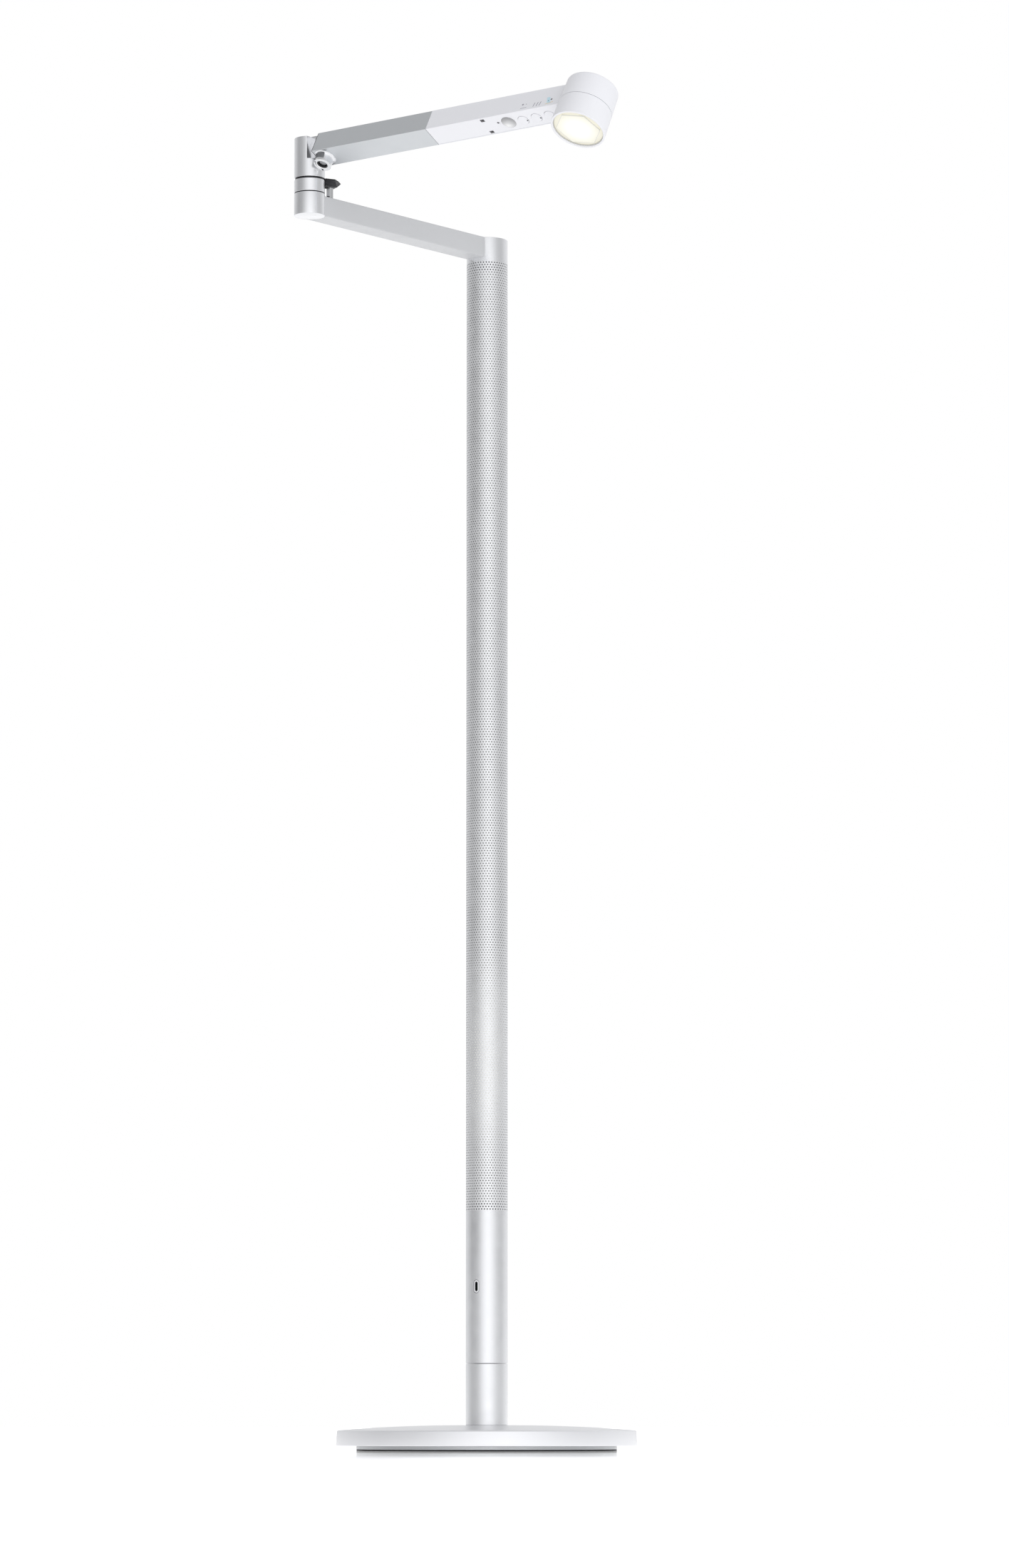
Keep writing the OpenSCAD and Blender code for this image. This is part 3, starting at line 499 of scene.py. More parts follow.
def carry_over():
    """Finishes for the CAD's own meshes. Two inner ones get a dark grey as painted shade, for the shade
    inside the stem that the holes show.
    """
    for name, obj in nodes.items():
        obj.data.materials.clear()
        obj.data.materials.append(MATERIALS[NODE_SLOT[name]])
    for name in ("hub_core", "electronics_sled"):
        nodes[name].data.materials[0] = SHADE_SEEN_THROUGH_HOLES
    # Black on the port's metal shell: painted shade in the port's mouth.
    nodes["usb_port"].data.materials[0] = MATERIALS["black_plastic"]


# ---------------------------------------------------------------- perforated stem

HOLES_ROUND = 46
HOLE_ROWS = 376
HOLE_R = 0.67 * MM
HOLE_TURN = math.radians(-2.5)
HOLE_SIDES = 8
HALF_PITCH = math.pi / HOLES_ROUND
MESH_LOW = 0.2249
MESH_HIGH = 1.1367
MESH_PARTS = 5
ROW_PITCH = (MESH_HIGH - MESH_LOW) / HOLE_ROWS
STEM_EDGE = 0.25 * MM
CORE_FIT = 0.05 * MM
PORT_BAND = 8 * MM
PORT_W = 6.1 * MM
PORT_H = 12.6 * MM
PORT_DEPTH = 6 * MM


def wall_points(first, last, radius):
    """One face of the wall: the lines between rows, a point between holes, and each hole's rim."""
    row = np.arange(first, last)[:, None]
    col = np.arange(HOLES_ROUND)[None, :]
    turn = (2 * col + row % 2) * HALF_PITCH + HOLE_TURN
    height = MESH_LOW + (row + 0.5) * ROW_PITCH + 0 * col
    line_turn = np.arange(2 * HOLES_ROUND) * HALF_PITCH + HOLE_TURN
    line_height = MESH_LOW + np.arange(first, last + 1) * ROW_PITCH
    around = np.arange(HOLE_SIDES) * math.pi / 4
    rim_turn = turn[:, :, None] + HOLE_R * np.cos(around) / radius
    rim_height = height[:, :, None] + HOLE_R * np.sin(around)
    lines_t = np.tile(line_turn, len(line_height))
    lines_z = np.repeat(line_height, len(line_turn))
    t = np.concatenate([lines_t, (turn + HALF_PITCH).ravel(), rim_turn.ravel()])
    z = np.concatenate([lines_z, height.ravel(), rim_height.ravel()])
    return np.stack([radius * np.cos(t), radius * np.sin(t), z], 1)


def wall_cells(first, last):
    """For every hole, the eight points round its cell and the eight on its rim."""
    n = HOLES_ROUND
    rows = last - first
    row = np.arange(rows)[:, None]
    col = np.arange(n)[None, :]
    k = 2 * col + (row + first) % 2
    mids = (rows + 1) * 2 * n
    holes = mids + rows * n

    def line_at(line, point):
        """Index of a point on one of the lines between rows."""
        return line * 2 * n + point % (2 * n)

    cell = [mids + row * n + col, line_at(row + 1, k + 1), line_at(row + 1, k), line_at(row + 1, k - 1),
            mids + row * n + (col - 1) % n, line_at(row, k - 1), line_at(row, k), line_at(row, k + 1)]
    rim = [holes + (row * n + col) * HOLE_SIDES + i for i in range(HOLE_SIDES)]
    return cell, rim


def wall_quads(first, last, gap):
    """Faces of the wall: outside, inside (its points come gap later), the holes' bores and both ends."""
    cell, rim = wall_cells(first, last)
    faces = []
    for (a, b), (c, d) in zip(ring_sides(cell), ring_sides(rim)):
        a, b, c, d = [v.ravel() for v in np.broadcast_arrays(a, b, c, d)]
        faces.append(np.stack([a, b, d, c], 1))
        faces.append(np.stack([b, a, c, d], 1) + gap)
        faces.append(np.stack([c, d, d + gap, c + gap], 1))
    ring = np.arange(2 * HOLES_ROUND)
    nxt = (ring + 1) % len(ring)
    top = (last - first) * len(ring)
    faces.append(np.stack([nxt, ring, ring + gap, nxt + gap], 1))
    faces.append(np.stack([ring + top, nxt + top, nxt + top + gap, ring + top + gap], 1))
    return np.concatenate(faces).astype(np.int32)


def quad_mesh(name, points, quads):
    """A mesh from an array of points and one of four-cornered faces."""
    mesh = bpy.data.meshes.new(name)
    mesh.vertices.add(len(points))
    mesh.vertices.foreach_set("co", points.ravel().astype(np.float32))
    mesh.loops.add(quads.size)
    mesh.loops.foreach_set("vertex_index", quads.ravel())
    mesh.polygons.add(len(quads))
    mesh.polygons.foreach_set("loop_start", np.arange(len(quads), dtype=np.int32) * 4)
    mesh.update(calc_edges=True)
    mesh.validate()
    return mesh


def perforated_part(name, first, last, r_out, r_in):
    """Rows first to last of the perforated wall, as one closed mesh with real holes."""
    outer = wall_points(first, last, r_out)
    inner = wall_points(first, last, r_in)
    mesh = quad_mesh(name, np.concatenate([outer, inner]), wall_quads(first, last, len(outer)))
    smooth(mesh, 35.0)
    return link_mesh(name, mesh)


def capsule_cutter(width, height, depth, matrix, steps=32):
    """An upright stadium-shaped peg, its length along the matrix's z."""
    straight = (height - width) / 2
    outline = []
    for side in (1, -1):
        for i in range(steps + 1):
            t = math.pi * i / steps
            outline.append((side * width / 2 * math.cos(t), side * (straight + width / 2 * math.sin(t))))
    return prism("cutter", outline, 0, depth, matrix)


def port_matrix():
    """The charging port's frame: z points out through the port, from the stem's axis."""
    low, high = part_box("port_bezel")
    centre = (low + high) / 2
    out = Vector((centre.x, centre.y, 0)).normalized()
    side = Vector((0, 0, 1)).cross(out)
    m = Matrix((side, Vector((0, 0, 1)), out)).transposed().to_4x4()
    m.translation = Vector((0, 0, centre.z))
    return m


def round_normals(mesh):
    """Exact normals for the faces on a tube's round outside, which a cut has split unevenly."""
    normals = [Vector(corner.vector) for corner in mesh.corner_normals]
    for face in mesh.polygons:
        for i in face.loop_indices:
            at = mesh.vertices[mesh.loops[i].vertex_index].co
            radial = Vector((at.x, at.y, 0)).normalized()
            if face.normal.dot(radial) > 0.99:
                normals[i] = radial
    mesh.normals_split_custom_set(normals)


def stem_mesh(r_out, r_in):
    """The perforated wall, in stretches of whole rows."""
    per = HOLE_ROWS / MESH_PARTS
    for i in range(MESH_PARTS):
        part = perforated_part("stem_mesh_%d" % (i + 1), round(i * per), round((i + 1) * per), r_out, r_in)
        put(part, "stem", "silver", "stem_tube")
        part.data.materials[0] = MESH_METAL


def stem_sleeve(low_z, r_out, r_in):
    """The stem's plain foot, with the charging port's mouth cut through it."""
    edge_r = r_out - STEM_EDGE
    port = port_matrix()
    around = [port.translation.z - PORT_BAND, port.translation.z + PORT_BAND]
    profile = [(r_in, low_z), (edge_r, low_z)] + arc(edge_r, low_z + STEM_EDGE, STEM_EDGE, -90, 0, 4)[1:]
    profile += [(r_out, z) for z in around] + [(r_out, MESH_LOW), (r_in, MESH_LOW)]
    profile += [(r_in, z) for z in reversed(around)]
    sleeve = lathe("stem_sleeve", profile, closed=True)
    inset = Matrix.Translation((0, 0, r_in - PORT_DEPTH / 2))
    cut(sleeve, capsule_cutter(PORT_W, PORT_H, PORT_DEPTH, port @ inset))
    smooth(sleeve.data)
    round_normals(sleeve.data)
    put(sleeve, "stem", "silver", "stem_tube")


def stem():
    """The tube in its parts: perforated wall, plain foot and plain head."""
    low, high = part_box("stem_tube")
    r_out = (high.x - low.x) / 2
    core_low, core_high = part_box("hub_core")
    r_in = (core_high.x - core_low.x) / 2 + CORE_FIT
    stem_mesh(r_out, r_in)
    stem_sleeve(low.z, r_out, r_in)
    head = [(r_in, MESH_HIGH), (r_out, MESH_HIGH)]
    head += arc(r_out - STEM_EDGE, high.z - STEM_EDGE, STEM_EDGE, 0, 90, 4) + [(r_in, high.z)]
    put(lathe("stem_head", head, closed=True), "stem", "silver", "stem_tube")


# ---------------------------------------------------------------- base

DISC_DRAFT = 0.8 * MM
DISC_EDGE = 1.8 * MM
DISC_FOOT_EDGE = 0.8 * MM
DISC_RIM = 14.6 * MM
CROWN_STEPS = 24
SEAT_EDGE = 1.5 * MM
JACK_R = 4.45 * MM
JACK_Z = 10.3 * MM
JACK_DEPTH = 14 * MM
JACK_INSET = 4 * MM


def disc_profile(low, high, r):
    """Half section of the disc: small edges, a straight rim and a low parabolic crown."""
    rim_z = low.z + DISC_RIM
    crown_r = r - DISC_DRAFT - DISC_EDGE
    seat_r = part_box("stem_collar")[1].x + SEAT_EDGE
    foot_r = r - DISC_FOOT_EDGE
    profile = [(0, low.z), (foot_r, low.z)]
    profile += arc(foot_r, low.z + DISC_FOOT_EDGE, DISC_FOOT_EDGE, -90, 0, 5)[1:]
    profile += arc(crown_r, rim_z - DISC_EDGE, DISC_EDGE, 0, 90, 10)
    for i in range(CROWN_STEPS - 1, -1, -1):
        at = seat_r + (crown_r - seat_r) * i / CROWN_STEPS
        drop = (high.z - rim_z) * ((at - seat_r) / (crown_r - seat_r)) ** 2
        profile.append((at, high.z - drop))
    profile.append((0, high.z))
    return profile


def base():
    """The disc with the hole for its jack, and what is under and on it."""
    low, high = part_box("base_disc")
    r = (high.x - low.x) / 2
    disc = lathe("disc_shell", disc_profile(low, high, r), steps=360)
    bm = bmesh.new()
    bmesh.ops.create_cone(bm, cap_ends=True, segments=64, radius1=JACK_R, radius2=JACK_R, depth=JACK_DEPTH)
    where = Matrix.Translation((0, r - JACK_INSET, JACK_Z)) @ Matrix.Rotation(math.pi / 2, 4, "X")
    cut(disc, from_bmesh("cutter", bm, 30, where))
    smooth(disc.data)
    put(disc, "base", "white_paint", "base_disc")
    skin("base_cover", "base", "steel", 0.5)
    skin("foot_pad", "base", "pad_rubber", 0.3)
    skin("stem_collar", "base", "silver", 0.3)


# ---------------------------------------------------------------- lower arm and elbow

ARM_CROWN = 0.4 * MM
ARM_EDGE = 0.6 * MM
ARM_HALF_W = 11.35 * MM
BAR_START = 10 * MM
BAR_END = 5 * MM
FIT = 0.05 * MM
CUT_REACH = 30 * MM
KNUCKLE_EDGE = 0.4 * MM
GROOVE_H = 0.9 * MM
GROOVE_DEPTH = 0.3 * MM
GROOVE_SHADE_WIDTH = 2 * MM
CORNER_STEPS = 6


def crowned_outline(width, height, steps=12):
    """Section of the lower arm: flat top and bottom, sides bowed out a little, rounded corners."""
    outline = []
    half_w = width / 2
    half_h = height / 2
    turn_w = half_w - ARM_CROWN - ARM_EDGE
    corner = [math.pi / 2 * i / CORNER_STEPS for i in range(1, CORNER_STEPS)]
    for side in (1, -1):
        for i in range(steps + 1):
            at = side * (-half_h + ARM_EDGE + (height - 2 * ARM_EDGE) * i / steps)
            outline.append((side * (half_w - ARM_CROWN * (at / half_h) ** 2), at))
        for t in corner:
            outline.append((side * (turn_w + ARM_EDGE * math.cos(t)),
                            side * (half_h - ARM_EDGE + ARM_EDGE * math.sin(t))))
        outline.append((side * turn_w, side * half_h))
        outline.append((-side * turn_w, side * half_h))
        for t in corner:
            outline.append((side * (-turn_w - ARM_EDGE * math.sin(t)),
                            side * (half_h - ARM_EDGE + ARM_EDGE * math.cos(t))))
    return outline


def arm_bar(low, arm_top, knuckle_r):
    """The crowned bar, hollowed to fit round the stem and the knuckle."""
    reach = (LOWER.inverted() @ elbow_at).x
    centre = LOWER @ Matrix.Translation((0, 0, (low.z + arm_top) / 2))
    outline = crowned_outline(2 * min(-low.y, ARM_HALF_W), arm_top - low.z)
    bar = prism("lower_arm_bar", outline, BAR_START, reach - BAR_END, centre @ ENDWAYS, 25)
    stem_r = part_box("stem_tube")[1].x
    at_elbow = ELBOW @ Matrix.Translation((0, 0, arm_top))
    cutters = []
    for r, place in ((stem_r + FIT, centre), (knuckle_r - FIT, at_elbow)):
        plug = [(0, -CUT_REACH), (r, -CUT_REACH), (r, CUT_REACH), (0, CUT_REACH)]
        cutters.append(lathe("cutter", plug, place))
    cut(bar, *cutters)
    smooth(bar.data, 25)
    put(bar, "stem", "arm_silver", "lower_arm")


def lower_arm():
    """The bar, its knuckle at the elbow and a black ring in the elbow's groove, as painted shade in that
    groove.
    """
    low, high = local_box("lower_arm", LOWER)
    ring_low, ring_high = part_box("elbow_ring")
    r = (ring_high.x - ring_low.x) / 2
    arm_bar(low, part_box("stem_tube")[1].z, r)
    edge = KNUCKLE_EDGE
    side = [(0, low.z), (r - edge, low.z)] + arc(r - edge, low.z + edge, edge, -90, 0, 4)[1:]
    side += arc(r - edge, high.z - edge, edge, 0, 90, 4) + [(0, high.z)]
    put(lathe("lower_knuckle", side, ELBOW), "stem", "silver", "lower_arm")
    # A black ring sunk in the elbow's groove: painted shade.
    outer = r - GROOVE_DEPTH
    inner = r - GROOVE_SHADE_WIDTH
    top = ring_low.z + GROOVE_H
    shade_piece = [(inner, ring_low.z), (outer, ring_low.z), (outer, top), (inner, top)]
    put(lathe("elbow_groove_shade", shade_piece, ELBOW, closed=True), "stem", "black_plastic")


# ---------------------------------------------------------------- white section and head

HEAD_EDGE = 1.1 * MM
SMALL_EDGE = 0.35
ON_FACE = 0.02 * MM
HEAD_CLEAR = 0.5 * MM


def half_width(node):
    """Half of a CAD node's size along the arm."""
    low, high = local_box(node, ARM)
    return (high.x - low.x) / 2


def housing():
    """White section of the arm. Its edges are small, but for the broad one that faces the head."""
    bm = cleaned("optic_housing")
    inverse = ARM.inverted()
    head_x = (inverse @ HEAD.translation).x
    low, high = local_box("optic_housing", ARM)
    weight = bm.edges.layers.float.new("bevel_weight_edge")
    reach = half_width("head_shade") + HEAD_CLEAR
    for edge in bm.edges:
        if len(edge.link_faces) != 2 or edge.calc_face_angle(0) < math.radians(35):
            continue
        ends = [inverse @ v.co for v in edge.verts]
        faces = [min(abs(p.y - low.y), abs(p.y - high.y), abs(p.z - high.z)) for p in ends]
        near = all(math.hypot(p.x - head_x, p.y) < reach for p in ends)
        edge[weight] = 1.0 if near and max(faces) < ON_FACE else SMALL_EDGE
    obj = from_bmesh("optic_housing_skin", bm, 35)
    bevel = obj.modifiers.new("edges", "BEVEL")
    bevel.width = HEAD_EDGE
    bevel.segments = 4
    bevel.limit_method = "WEIGHT"
    bevel.harden_normals = True
    baked(obj)
    put(obj, "upper_arm", "white_plastic", "optic_housing")


# Thickness and inset of the black painted shade plate on the arm's elbow end.
END_SHADE_THICK = 0.42 * MM
END_SHADE_INSET = 0.15 * MM


def arm_end_shade():
    """Thin black plate on the arm's elbow end: painted shade, for the shadow in the gap between the arm's
    end and the knuckle.
    """
    low, high = local_box("arm_profile", ARM)
    y0 = low.y + END_SHADE_INSET
    z0 = low.z + END_SHADE_INSET
    y1 = high.y - END_SHADE_INSET
    z1 = high.z - END_SHADE_INSET
    outline = [(y0, z0), (y1, z0), (y1, z1), (y0, z1)]
    shade_piece = prism("arm_end_shade", outline, low.x - END_SHADE_THICK, low.x + ON_FACE, ARM @ ENDWAYS)
    put(shade_piece, "upper_arm", "black_plastic")


# Radii and heights of the grey painted shade ring in the gap round the lens, past its flange and its face.
LENS_GAP = (0.15 * MM, 0.55 * MM)
LENS_GAP_Z = (0.35 * MM, 0.8 * MM)
HEX_R = 21.35 * MM
HEX_TURN = math.radians(78.4)
HEX_LINE = 0.35 * MM
HEX_Z = (-0.03 * MM, 0.3 * MM)


def lens_gap(face):
    """A grey ring set in the gap round the lens: painted shade, for the shadow in that gap."""
    flange_r = half_width("head_lens")
    inner, outer = (flange_r + r for r in LENS_GAP)
    low, high = (face + z for z in LENS_GAP_Z)
    gap = [(inner, low), (outer, low), (outer, high), (inner, high)]
    put(lathe("lens_gap", gap, HEAD, closed=True), "upper_arm", "arm_silver")


def lens_seam(face):
    """The hexagonal seam in the lens's face."""
    hexagon = []
    for r in (HEX_R, HEX_R - HEX_LINE):
        turn = [HEX_TURN + math.pi / 3 * i for i in range(6)]
        hexagon.append([(r * math.cos(t), r * math.sin(t)) for t in turn])
    bm = bmesh.new()
    rings = []
    for z in HEX_Z:
        for outline in hexagon:
            rings.append([bm.verts.new((x, y, face + z)) for x, y in outline])
    for first, second in ((0, 1), (1, 3), (3, 2), (2, 0)):
        for (a, b), (c, d) in zip(ring_sides(rings[first]), ring_sides(rings[second])):
            bm.faces.new((a, b, d, c))
    put(from_bmesh("lens_seam", bm, 30, HEAD), "upper_arm", "grey_profile")


def head_details():
    """What the lens shows at its face."""
    face = local_box("head_lens", ARM)[0].z
    lens_gap(face)
    lens_seam(face)


JOINT_END = 0.32 * MM
JOINT_SIDE = 0.2 * MM
JOINT_INSET = 0.3 * MM
JOINT_PROUD = 0.03 * MM
JOINT_DEPTH = 0.3 * MM


def cover_joints():
    """Dark joints at the end and along the far side of the underside's cover."""
    low, high = local_box("optic_cover", ARM)
    body_low, body_high = local_box("optic_housing", ARM)
    head_x = local_box("head_shade", ARM)[0].x
    y0 = body_low.y + JOINT_INSET
    y1 = body_high.y - JOINT_INSET
    strips = {
        "cover_joint_end": (low.x - JOINT_END, y0, low.x, y1),
        "cover_joint_side": (low.x, high.y - JOINT_SIDE, head_x, high.y),
    }
    for name, (x0, y0, x1, y1) in strips.items():
        outline = [(x0, y0), (x1, y0), (x1, y1), (x0, y1)]
        strip = prism(name, outline, body_low.z - JOINT_PROUD, body_low.z + JOINT_DEPTH, ARM)
        put(strip, "upper_arm", "grey_plastic" if name.endswith("end") else "grey_profile")


# ---------------------------------------------------------------- printed symbols

INK_UNDER = 0.05 * MM
INK_OVER = 0.03 * MM
SIDE_FACE = ARM @ Matrix(((1, 0, 0, 0), (0, 0, -1, 0), (0, 1, 0, 0), (0, 0, 0, 1)))


def printed(name, ink, outline):
    """A thin film of ink on the side face, its outline in mm along and up the arm."""
    face = -local_box("optic_housing", ARM)[0].y
    points = [(x * MM, z * MM) for x, z in outline]
    film = prism(name, points, face - INK_UNDER, face + INK_OVER, SIDE_FACE)
    put(film, "upper_arm", "white_plastic")
    film.data.materials[0] = INKS[ink]


def dot(x, z, r):
    """Outline of a round mark, in mm."""
    turn = [2 * math.pi * i / 24 for i in range(24)]
    return [(x + r * math.cos(t), z + r * math.sin(t)) for t in turn]


def stroke(x0, z0, x1, z1, thick):
    """Outline of a straight bar between two points, in mm."""
    run = Vector((x1 - x0, z1 - z0)).normalized() * thick / 2
    return [(x0 + run.y, z0 - run.x), (x1 + run.y, z1 - run.x), (x1 - run.y, z1 + run.x),
            (x0 - run.y, z0 + run.x)]


def symbols():
    """Generic marks beside the buttons: dots, bars and a tile."""
    printed("mark_power", "grey", dot(261.7, -3.9, 1.0))
    printed("mark_power_small", "grey", dot(265.6, -4.0, 0.45))
    printed("mark_power_line", "grey", stroke(260.1, -8.3, 266.9, -7.9, 0.45))
    for i, x in enumerate((274.6, 278.2, 281.4)):
        printed("mark_level_%d" % (i + 1), "grey", stroke(x, -8.7, x + 1.2, -4.3, 0.75))
    printed("mark_warmth", "blue", [(288.3, -0.9), (291.9, -0.8), (294.0, -7.6), (290.2, -7.8)])
    printed("mark_warmth_dot", "dark", dot(294.2, -3.9, 0.95))
    printed("mark_warmth_small", "dark", dot(291.0, -4.9, 0.55))
    printed("mark_warmth_line", "amber", stroke(288.4, -8.6, 296.9, -7.0, 0.5))


# ---------------------------------------------------------------- small pieces

DOME_R = 7.2 * MM
DOME_RIDGE = 0.02 * MM
DOME_STEPS = 28
DOME_SINK = 1.0 * MM


def dome():
    """Motion sensor's lens, with rings of facets pressed into it."""
    low, high = local_box("pir_lens", ARM)
    face = local_box("optic_cover", ARM)[0].z
    centre = Vector(((low.x + high.x) / 2, (low.y + high.y) / 2, face))
    r = DOME_R
    rise = face - low.z
    ball = (r * r + rise * rise) / (2 * rise)
    profile = [(0, -rise)]
    for i in range(1, DOME_STEPS + 1):
        at = r * i / DOME_STEPS
        ridge = DOME_RIDGE if i % 4 == 0 else 0.0
        profile.append((at, ball - math.sqrt(ball * ball - at * at) - rise + ridge))
    profile += [(r, DOME_SINK), (0, DOME_SINK)]
    place = ARM @ Matrix.Translation(centre)
    put(lathe("motion_lens", profile, place, steps=96), "upper_arm", "dome_plastic", "pir_lens")


def peg(name, body, slot, x, y, r, low, high, dome_rise=0.0):
    """A small round lens on the arm's underside, its face slightly domed, in mm along the arm."""
    place = ARM @ Matrix.Translation((x * MM, y * MM, 0))
    face = [(0, (low - dome_rise) * MM)]
    face += [(r * k / 4 * MM, (low - dome_rise * (1 - (k / 4) ** 2)) * MM) for k in range(1, 5)]
    return put(lathe(name, face + [(r * MM, high * MM), (0, high * MM)], place, steps=32), body, slot)


LED_OFFSET = (4.0, 1.2)
LED_R = 0.88
SENSOR_AT = (229.2, -2.0)
SENSOR_R = 1.05
WINDOW_HALF = 1.65
WINDOW_LENS_AT = 2.6
WINDOW_LENS_R = 1.0


def sensor_lenses():
    """Dark lenses on the buttons, in the scoop and in the two windows, in mm."""
    for i, button in enumerate(("power_button", "brightness_button", "warmth_button")):
        low, high = local_box(button, ARM)
        centre = (low + high) / 2 / MM
        peg("led_lens_%d" % (i + 1), button, "dark_window", centre.x + LED_OFFSET[0],
            centre.y + LED_OFFSET[1], LED_R, low.z / MM + 0.08, low.z / MM + 0.38)
    low, high = (corner / MM for corner in local_box("sensor_windows", ARM))
    face = low.z
    cover = local_box("optic_cover", ARM)[0].z / MM
    peg("light_sensor", "upper_arm", "dark_window", SENSOR_AT[0], SENSOR_AT[1], SENSOR_R,
        cover - 0.05, cover + 1, 0.12)
    at = low.x + WINDOW_LENS_AT
    for i, y in enumerate((low.y + WINDOW_HALF, high.y - WINDOW_HALF)):
        lens = peg("window_lens_%d" % (i + 1), "upper_arm", "dark_window", at, y, WINDOW_LENS_R,
                   face - 0.05, face + 0.5, 0.15)
        lens.data.materials[0] = INKS["black"]


PIN_R = 0.9 * MM
PIN_TIP_R = 0.5 * MM
PIN_LONG = 8 * MM
PIN_SHOULDER = 1.6 * MM
PIN_TIP = 1.1 * MM


def inlet():
    """Power jack in the back of the rim, with its pin."""
    skin("dc_inlet", "base", "black_plastic", 0.25)
    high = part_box("dc_inlet")[1]
    pin = [(0, -PIN_LONG), (PIN_R, -PIN_LONG), (PIN_R, -PIN_SHOULDER)]
    pin += [(PIN_TIP_R, -PIN_TIP), (0, -PIN_TIP)]
    place = Matrix.Translation((0, high.y, JACK_Z)) @ Matrix.Rotation(-math.pi / 2, 4, "X")
    put(lathe("inlet_pin", pin, place, steps=32), "base", "steel")


# ---------------------------------------------------------------- whole object

# nodes whose CAD shape only gets its edges rounded, by so many mm
ROUNDED = {
    "elbow_ring": 0.2, "rest_bumper": 0.3, "rest_post": 0.25, "upper_knuckle": 0.35, "knuckle_cap": 0.2,
    "arm_profile": 0.45, "dock_boss": 0.2, "dock_ring": 0.3, "optic_cover": 0.25, "port_bezel": 0.15,
    "head_cap": 0.3, "head_shade": 0.35, "power_button": 0.3, "brightness_button": 0.3,
    "warmth_button": 0.3, "sensor_windows": 0.25,
}

carry_over()
stem()
base()
inlet()
lower_arm()
housing()
head_details()
cover_joints()
symbols()
dome()
arm_end_shade()
sensor_lenses()
for node, width in ROUNDED.items():
    skin(node, BODY_OF[node], NODE_SLOT[node], width)
bpy.data.objects["rest_post_skin"].data.materials[0] = PIN_STEEL

# ---------------------------------------------------------------- floor, light and camera

SIDE_LIGHT = 0.35
RIGHT_LIGHT = 0.17
FRONT_LIGHT = 0.77
FRONT_FOCUS = 3.5
FRONT_TURN = math.radians(4)
BACK_LIGHT = 0.48
TOP_LIGHT = 0.12
FLOOR_GLOW = 0.44
FLOOR_MIRRORED = 0.37
FLOOR_SEEN = (0.19, 0.85)
FLOOR_FADE = (0.9, 2.6)
FLOOR_HALF = 30
FLOOR_DROP = 0.2 * MM


def floor():
    """A pale glossy floor. Its glow hides the reflection of what stands far above it."""
    m, tree = new_material("floor_white")
    bsdf = add(tree, "ShaderNodeBsdfPrincipled")
    coords = object_coords(tree)
    fac = noise(tree, coords, 3.0)
    pale = colours(tree, fac, (0.93, 0.93, 0.93), (0.95, 0.95, 0.95))
    tree.links.new(pale, bsdf.inputs["Base Color"])
    socket(bsdf, "Roughness", 0.03)
    socket(bsdf, "Emission Color", (1, 1, 1, 1))
    far = ramp(tree, from_axis(tree, coords), *FLOOR_SEEN, *FLOOR_FADE)
    path = add(tree, "ShaderNodeLightPath")
    lit = ramp(tree, path.outputs["Is Glossy Ray"], FLOOR_GLOW, FLOOR_MIRRORED, 0.0, 1.0)
    glow = add(tree, "ShaderNodeMix", data_type="FLOAT")
    tree.links.new(path.outputs["Is Camera Ray"], glow.inputs[0])
    tree.links.new(lit, glow.inputs[2])
    tree.links.new(far, glow.inputs[3])
    tree.links.new(glow.outputs[0], bsdf.inputs["Emission Strength"])
    finish_material(tree, bsdf)
    bm = bmesh.new()
    bmesh.ops.create_grid(bm, x_segments=1, y_segments=1, size=FLOOR_HALF)
    obj = from_bmesh("floor", bm, 30, Matrix.Translation((0, 0, -FLOOR_DROP)))
    if obj.data.polygons[0].normal.z < 0:
        obj.data.flip_normals()
    obj.data.materials.append(m)


def level(tree, value, gain, power=1.0):
    """gain * max(0, value) ** power"""
    keep = add(tree, "ShaderNodeMath", operation="MAXIMUM")
    tree.links.new(value, keep.inputs[0])
    keep.inputs[1].default_value = 0.0
    raised = add(tree, "ShaderNodeMath", operation="POWER")
    tree.links.new(keep.outputs[0], raised.inputs[0])
    raised.inputs[1].default_value = power
    scaled = add(tree, "ShaderNodeMath", operation="MULTIPLY")
    tree.links.new(raised.outputs[0], scaled.inputs[0])
    scaled.inputs[1].default_value = gain
    return scaled.outputs[0]


def total(tree, *values):
    """Sum of node outputs and numbers."""
    result = values[0]
    for value in values[1:]:
        n = add(tree, "ShaderNodeMath", operation="ADD")
        tree.links.new(result, n.inputs[0])
        if isinstance(value, float):
            n.inputs[1].default_value = value
        else:
            tree.links.new(value, n.inputs[1])
        result = n.outputs[0]
    return result


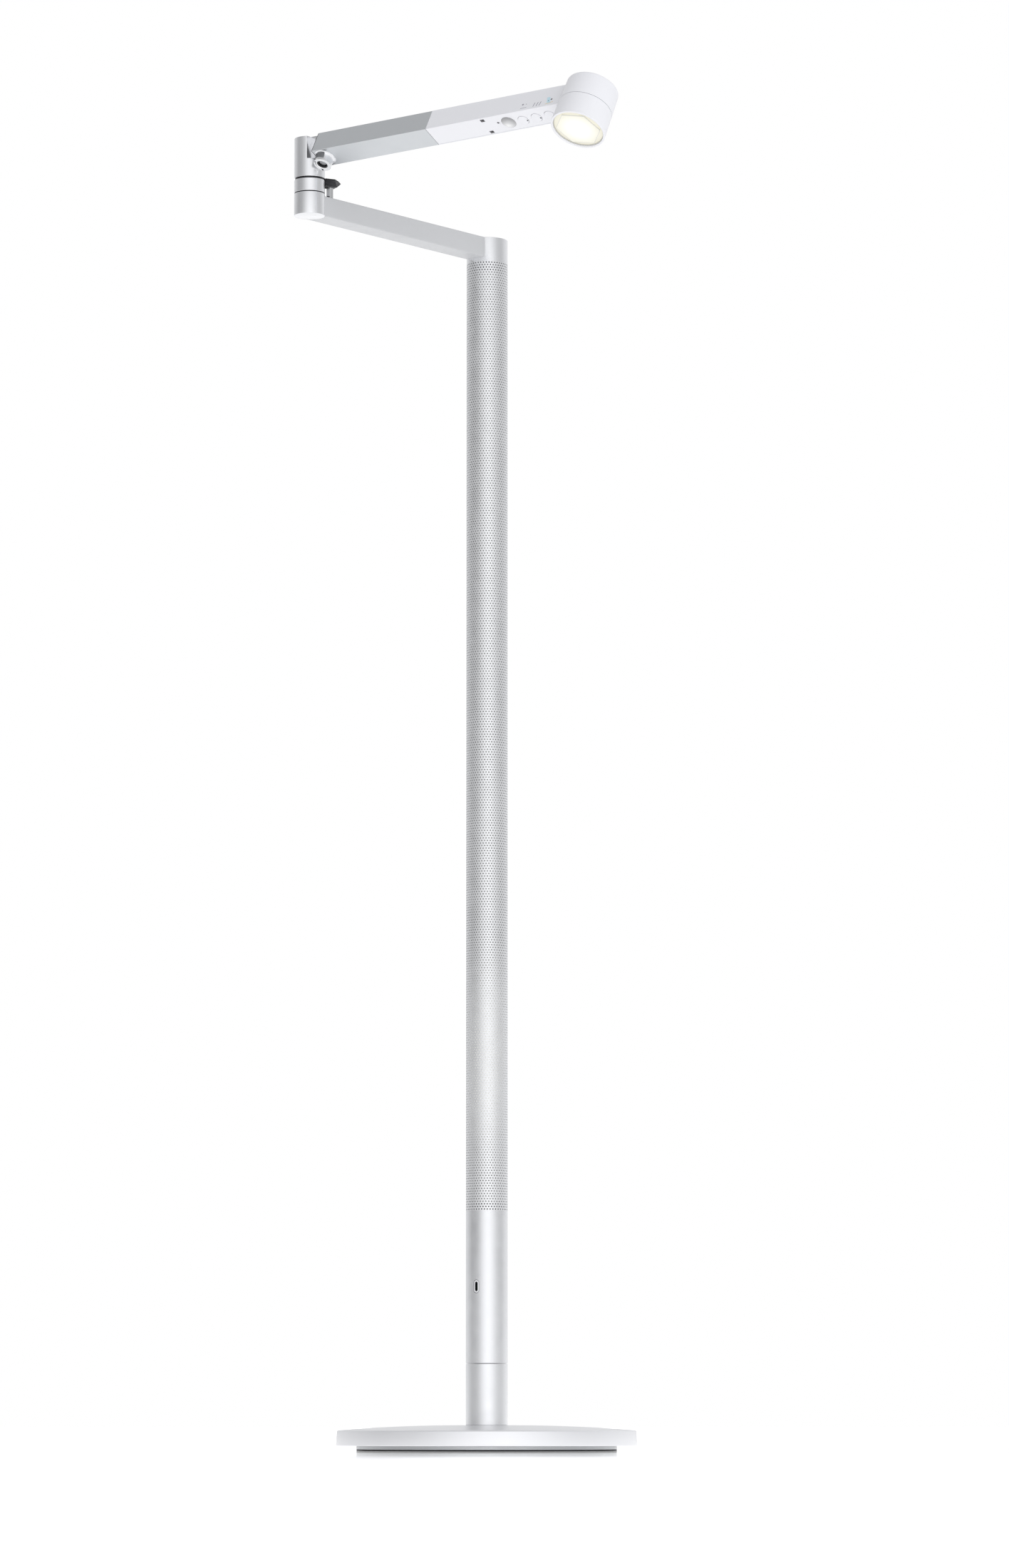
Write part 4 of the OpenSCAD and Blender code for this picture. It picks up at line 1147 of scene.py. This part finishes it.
def world():
    """A white studio with a broad light in front, dark flags at both sides and a paler back."""
    w = bpy.data.worlds.new("studio")
    bpy.context.scene.world = w
    w.use_nodes = True
    tree = w.node_tree
    tree.nodes.clear()
    tc = add(tree, "ShaderNodeTexCoord")
    split = add(tree, "ShaderNodeSeparateXYZ")
    tree.links.new(tc.outputs["Generated"], split.inputs[0])
    front = add(tree, "ShaderNodeVectorMath", operation="DOT_PRODUCT")
    tree.links.new(tc.outputs["Generated"], front.inputs[0])
    front.inputs[1].default_value = (math.sin(FRONT_TURN), -math.cos(FRONT_TURN), 0)
    amount = total(tree, level(tree, front.outputs["Value"], FRONT_LIGHT, FRONT_FOCUS),
                   level(tree, split.outputs["X"], RIGHT_LIGHT),
                   level(tree, split.outputs["Y"], BACK_LIGHT),
                   level(tree, split.outputs["Z"], TOP_LIGHT), SIDE_LIGHT)
    shade = add(tree, "ShaderNodeBackground")
    shade.inputs["Color"].default_value = (0.985, 0.99, 1.0, 1)
    tree.links.new(amount, shade.inputs["Strength"])
    plain = add(tree, "ShaderNodeBackground")
    plain.inputs["Color"].default_value = (1, 1, 1, 1)
    plain.inputs["Strength"].default_value = 1.0
    path = add(tree, "ShaderNodeLightPath")
    mix = add(tree, "ShaderNodeMixShader")
    tree.links.new(path.outputs["Is Camera Ray"], mix.inputs[0])
    tree.links.new(shade.outputs[0], mix.inputs[1])
    tree.links.new(plain.outputs[0], mix.inputs[2])
    out = add(tree, "ShaderNodeOutputWorld")
    tree.links.new(mix.outputs[0], out.inputs["Surface"])


SUN_STRENGTH = 0.95
SUN_ANGLE = math.radians(50)
SUN_HEADING = (-0.42, 0.88, -0.2)


def key_light():
    """Broad soft light from the front right, which lifts the white parts and makes no highlight."""
    data = bpy.data.lights.new("key", "SUN")
    data.energy = SUN_STRENGTH
    data.angle = SUN_ANGLE
    data.color = (0.97, 0.985, 1.0)
    obj = bpy.data.objects.new("key", data)
    bpy.context.scene.collection.objects.link(obj)
    obj.rotation_euler = Vector(SUN_HEADING).to_track_quat("-Z", "Y").to_euler()
    obj.visible_glossy = False


CAMERA_AT = (0.0, -5.025, 0.025)
CAMERA_TILT = 0.1201605
CAMERA_ROLL = -0.0033354
CAMERA_LENS = 121.69


def camera():
    """Long lens near the floor, tilted up, as the photo was taken."""
    data = bpy.data.cameras.new("camera")
    data.sensor_fit = "AUTO"
    data.sensor_width = 36.0
    data.lens = CAMERA_LENS
    data.clip_end = 100
    obj = bpy.data.objects.new("camera", data)
    bpy.context.scene.collection.objects.link(obj)
    obj.location = CAMERA_AT
    obj.rotation_euler = (math.pi / 2 + CAMERA_TILT, 0.0, CAMERA_ROLL)
    bpy.context.scene.camera = obj


floor()
world()
key_light()
camera()
bpy.context.scene.view_settings.view_transform = "Standard"
bpy.context.view_layer.update()
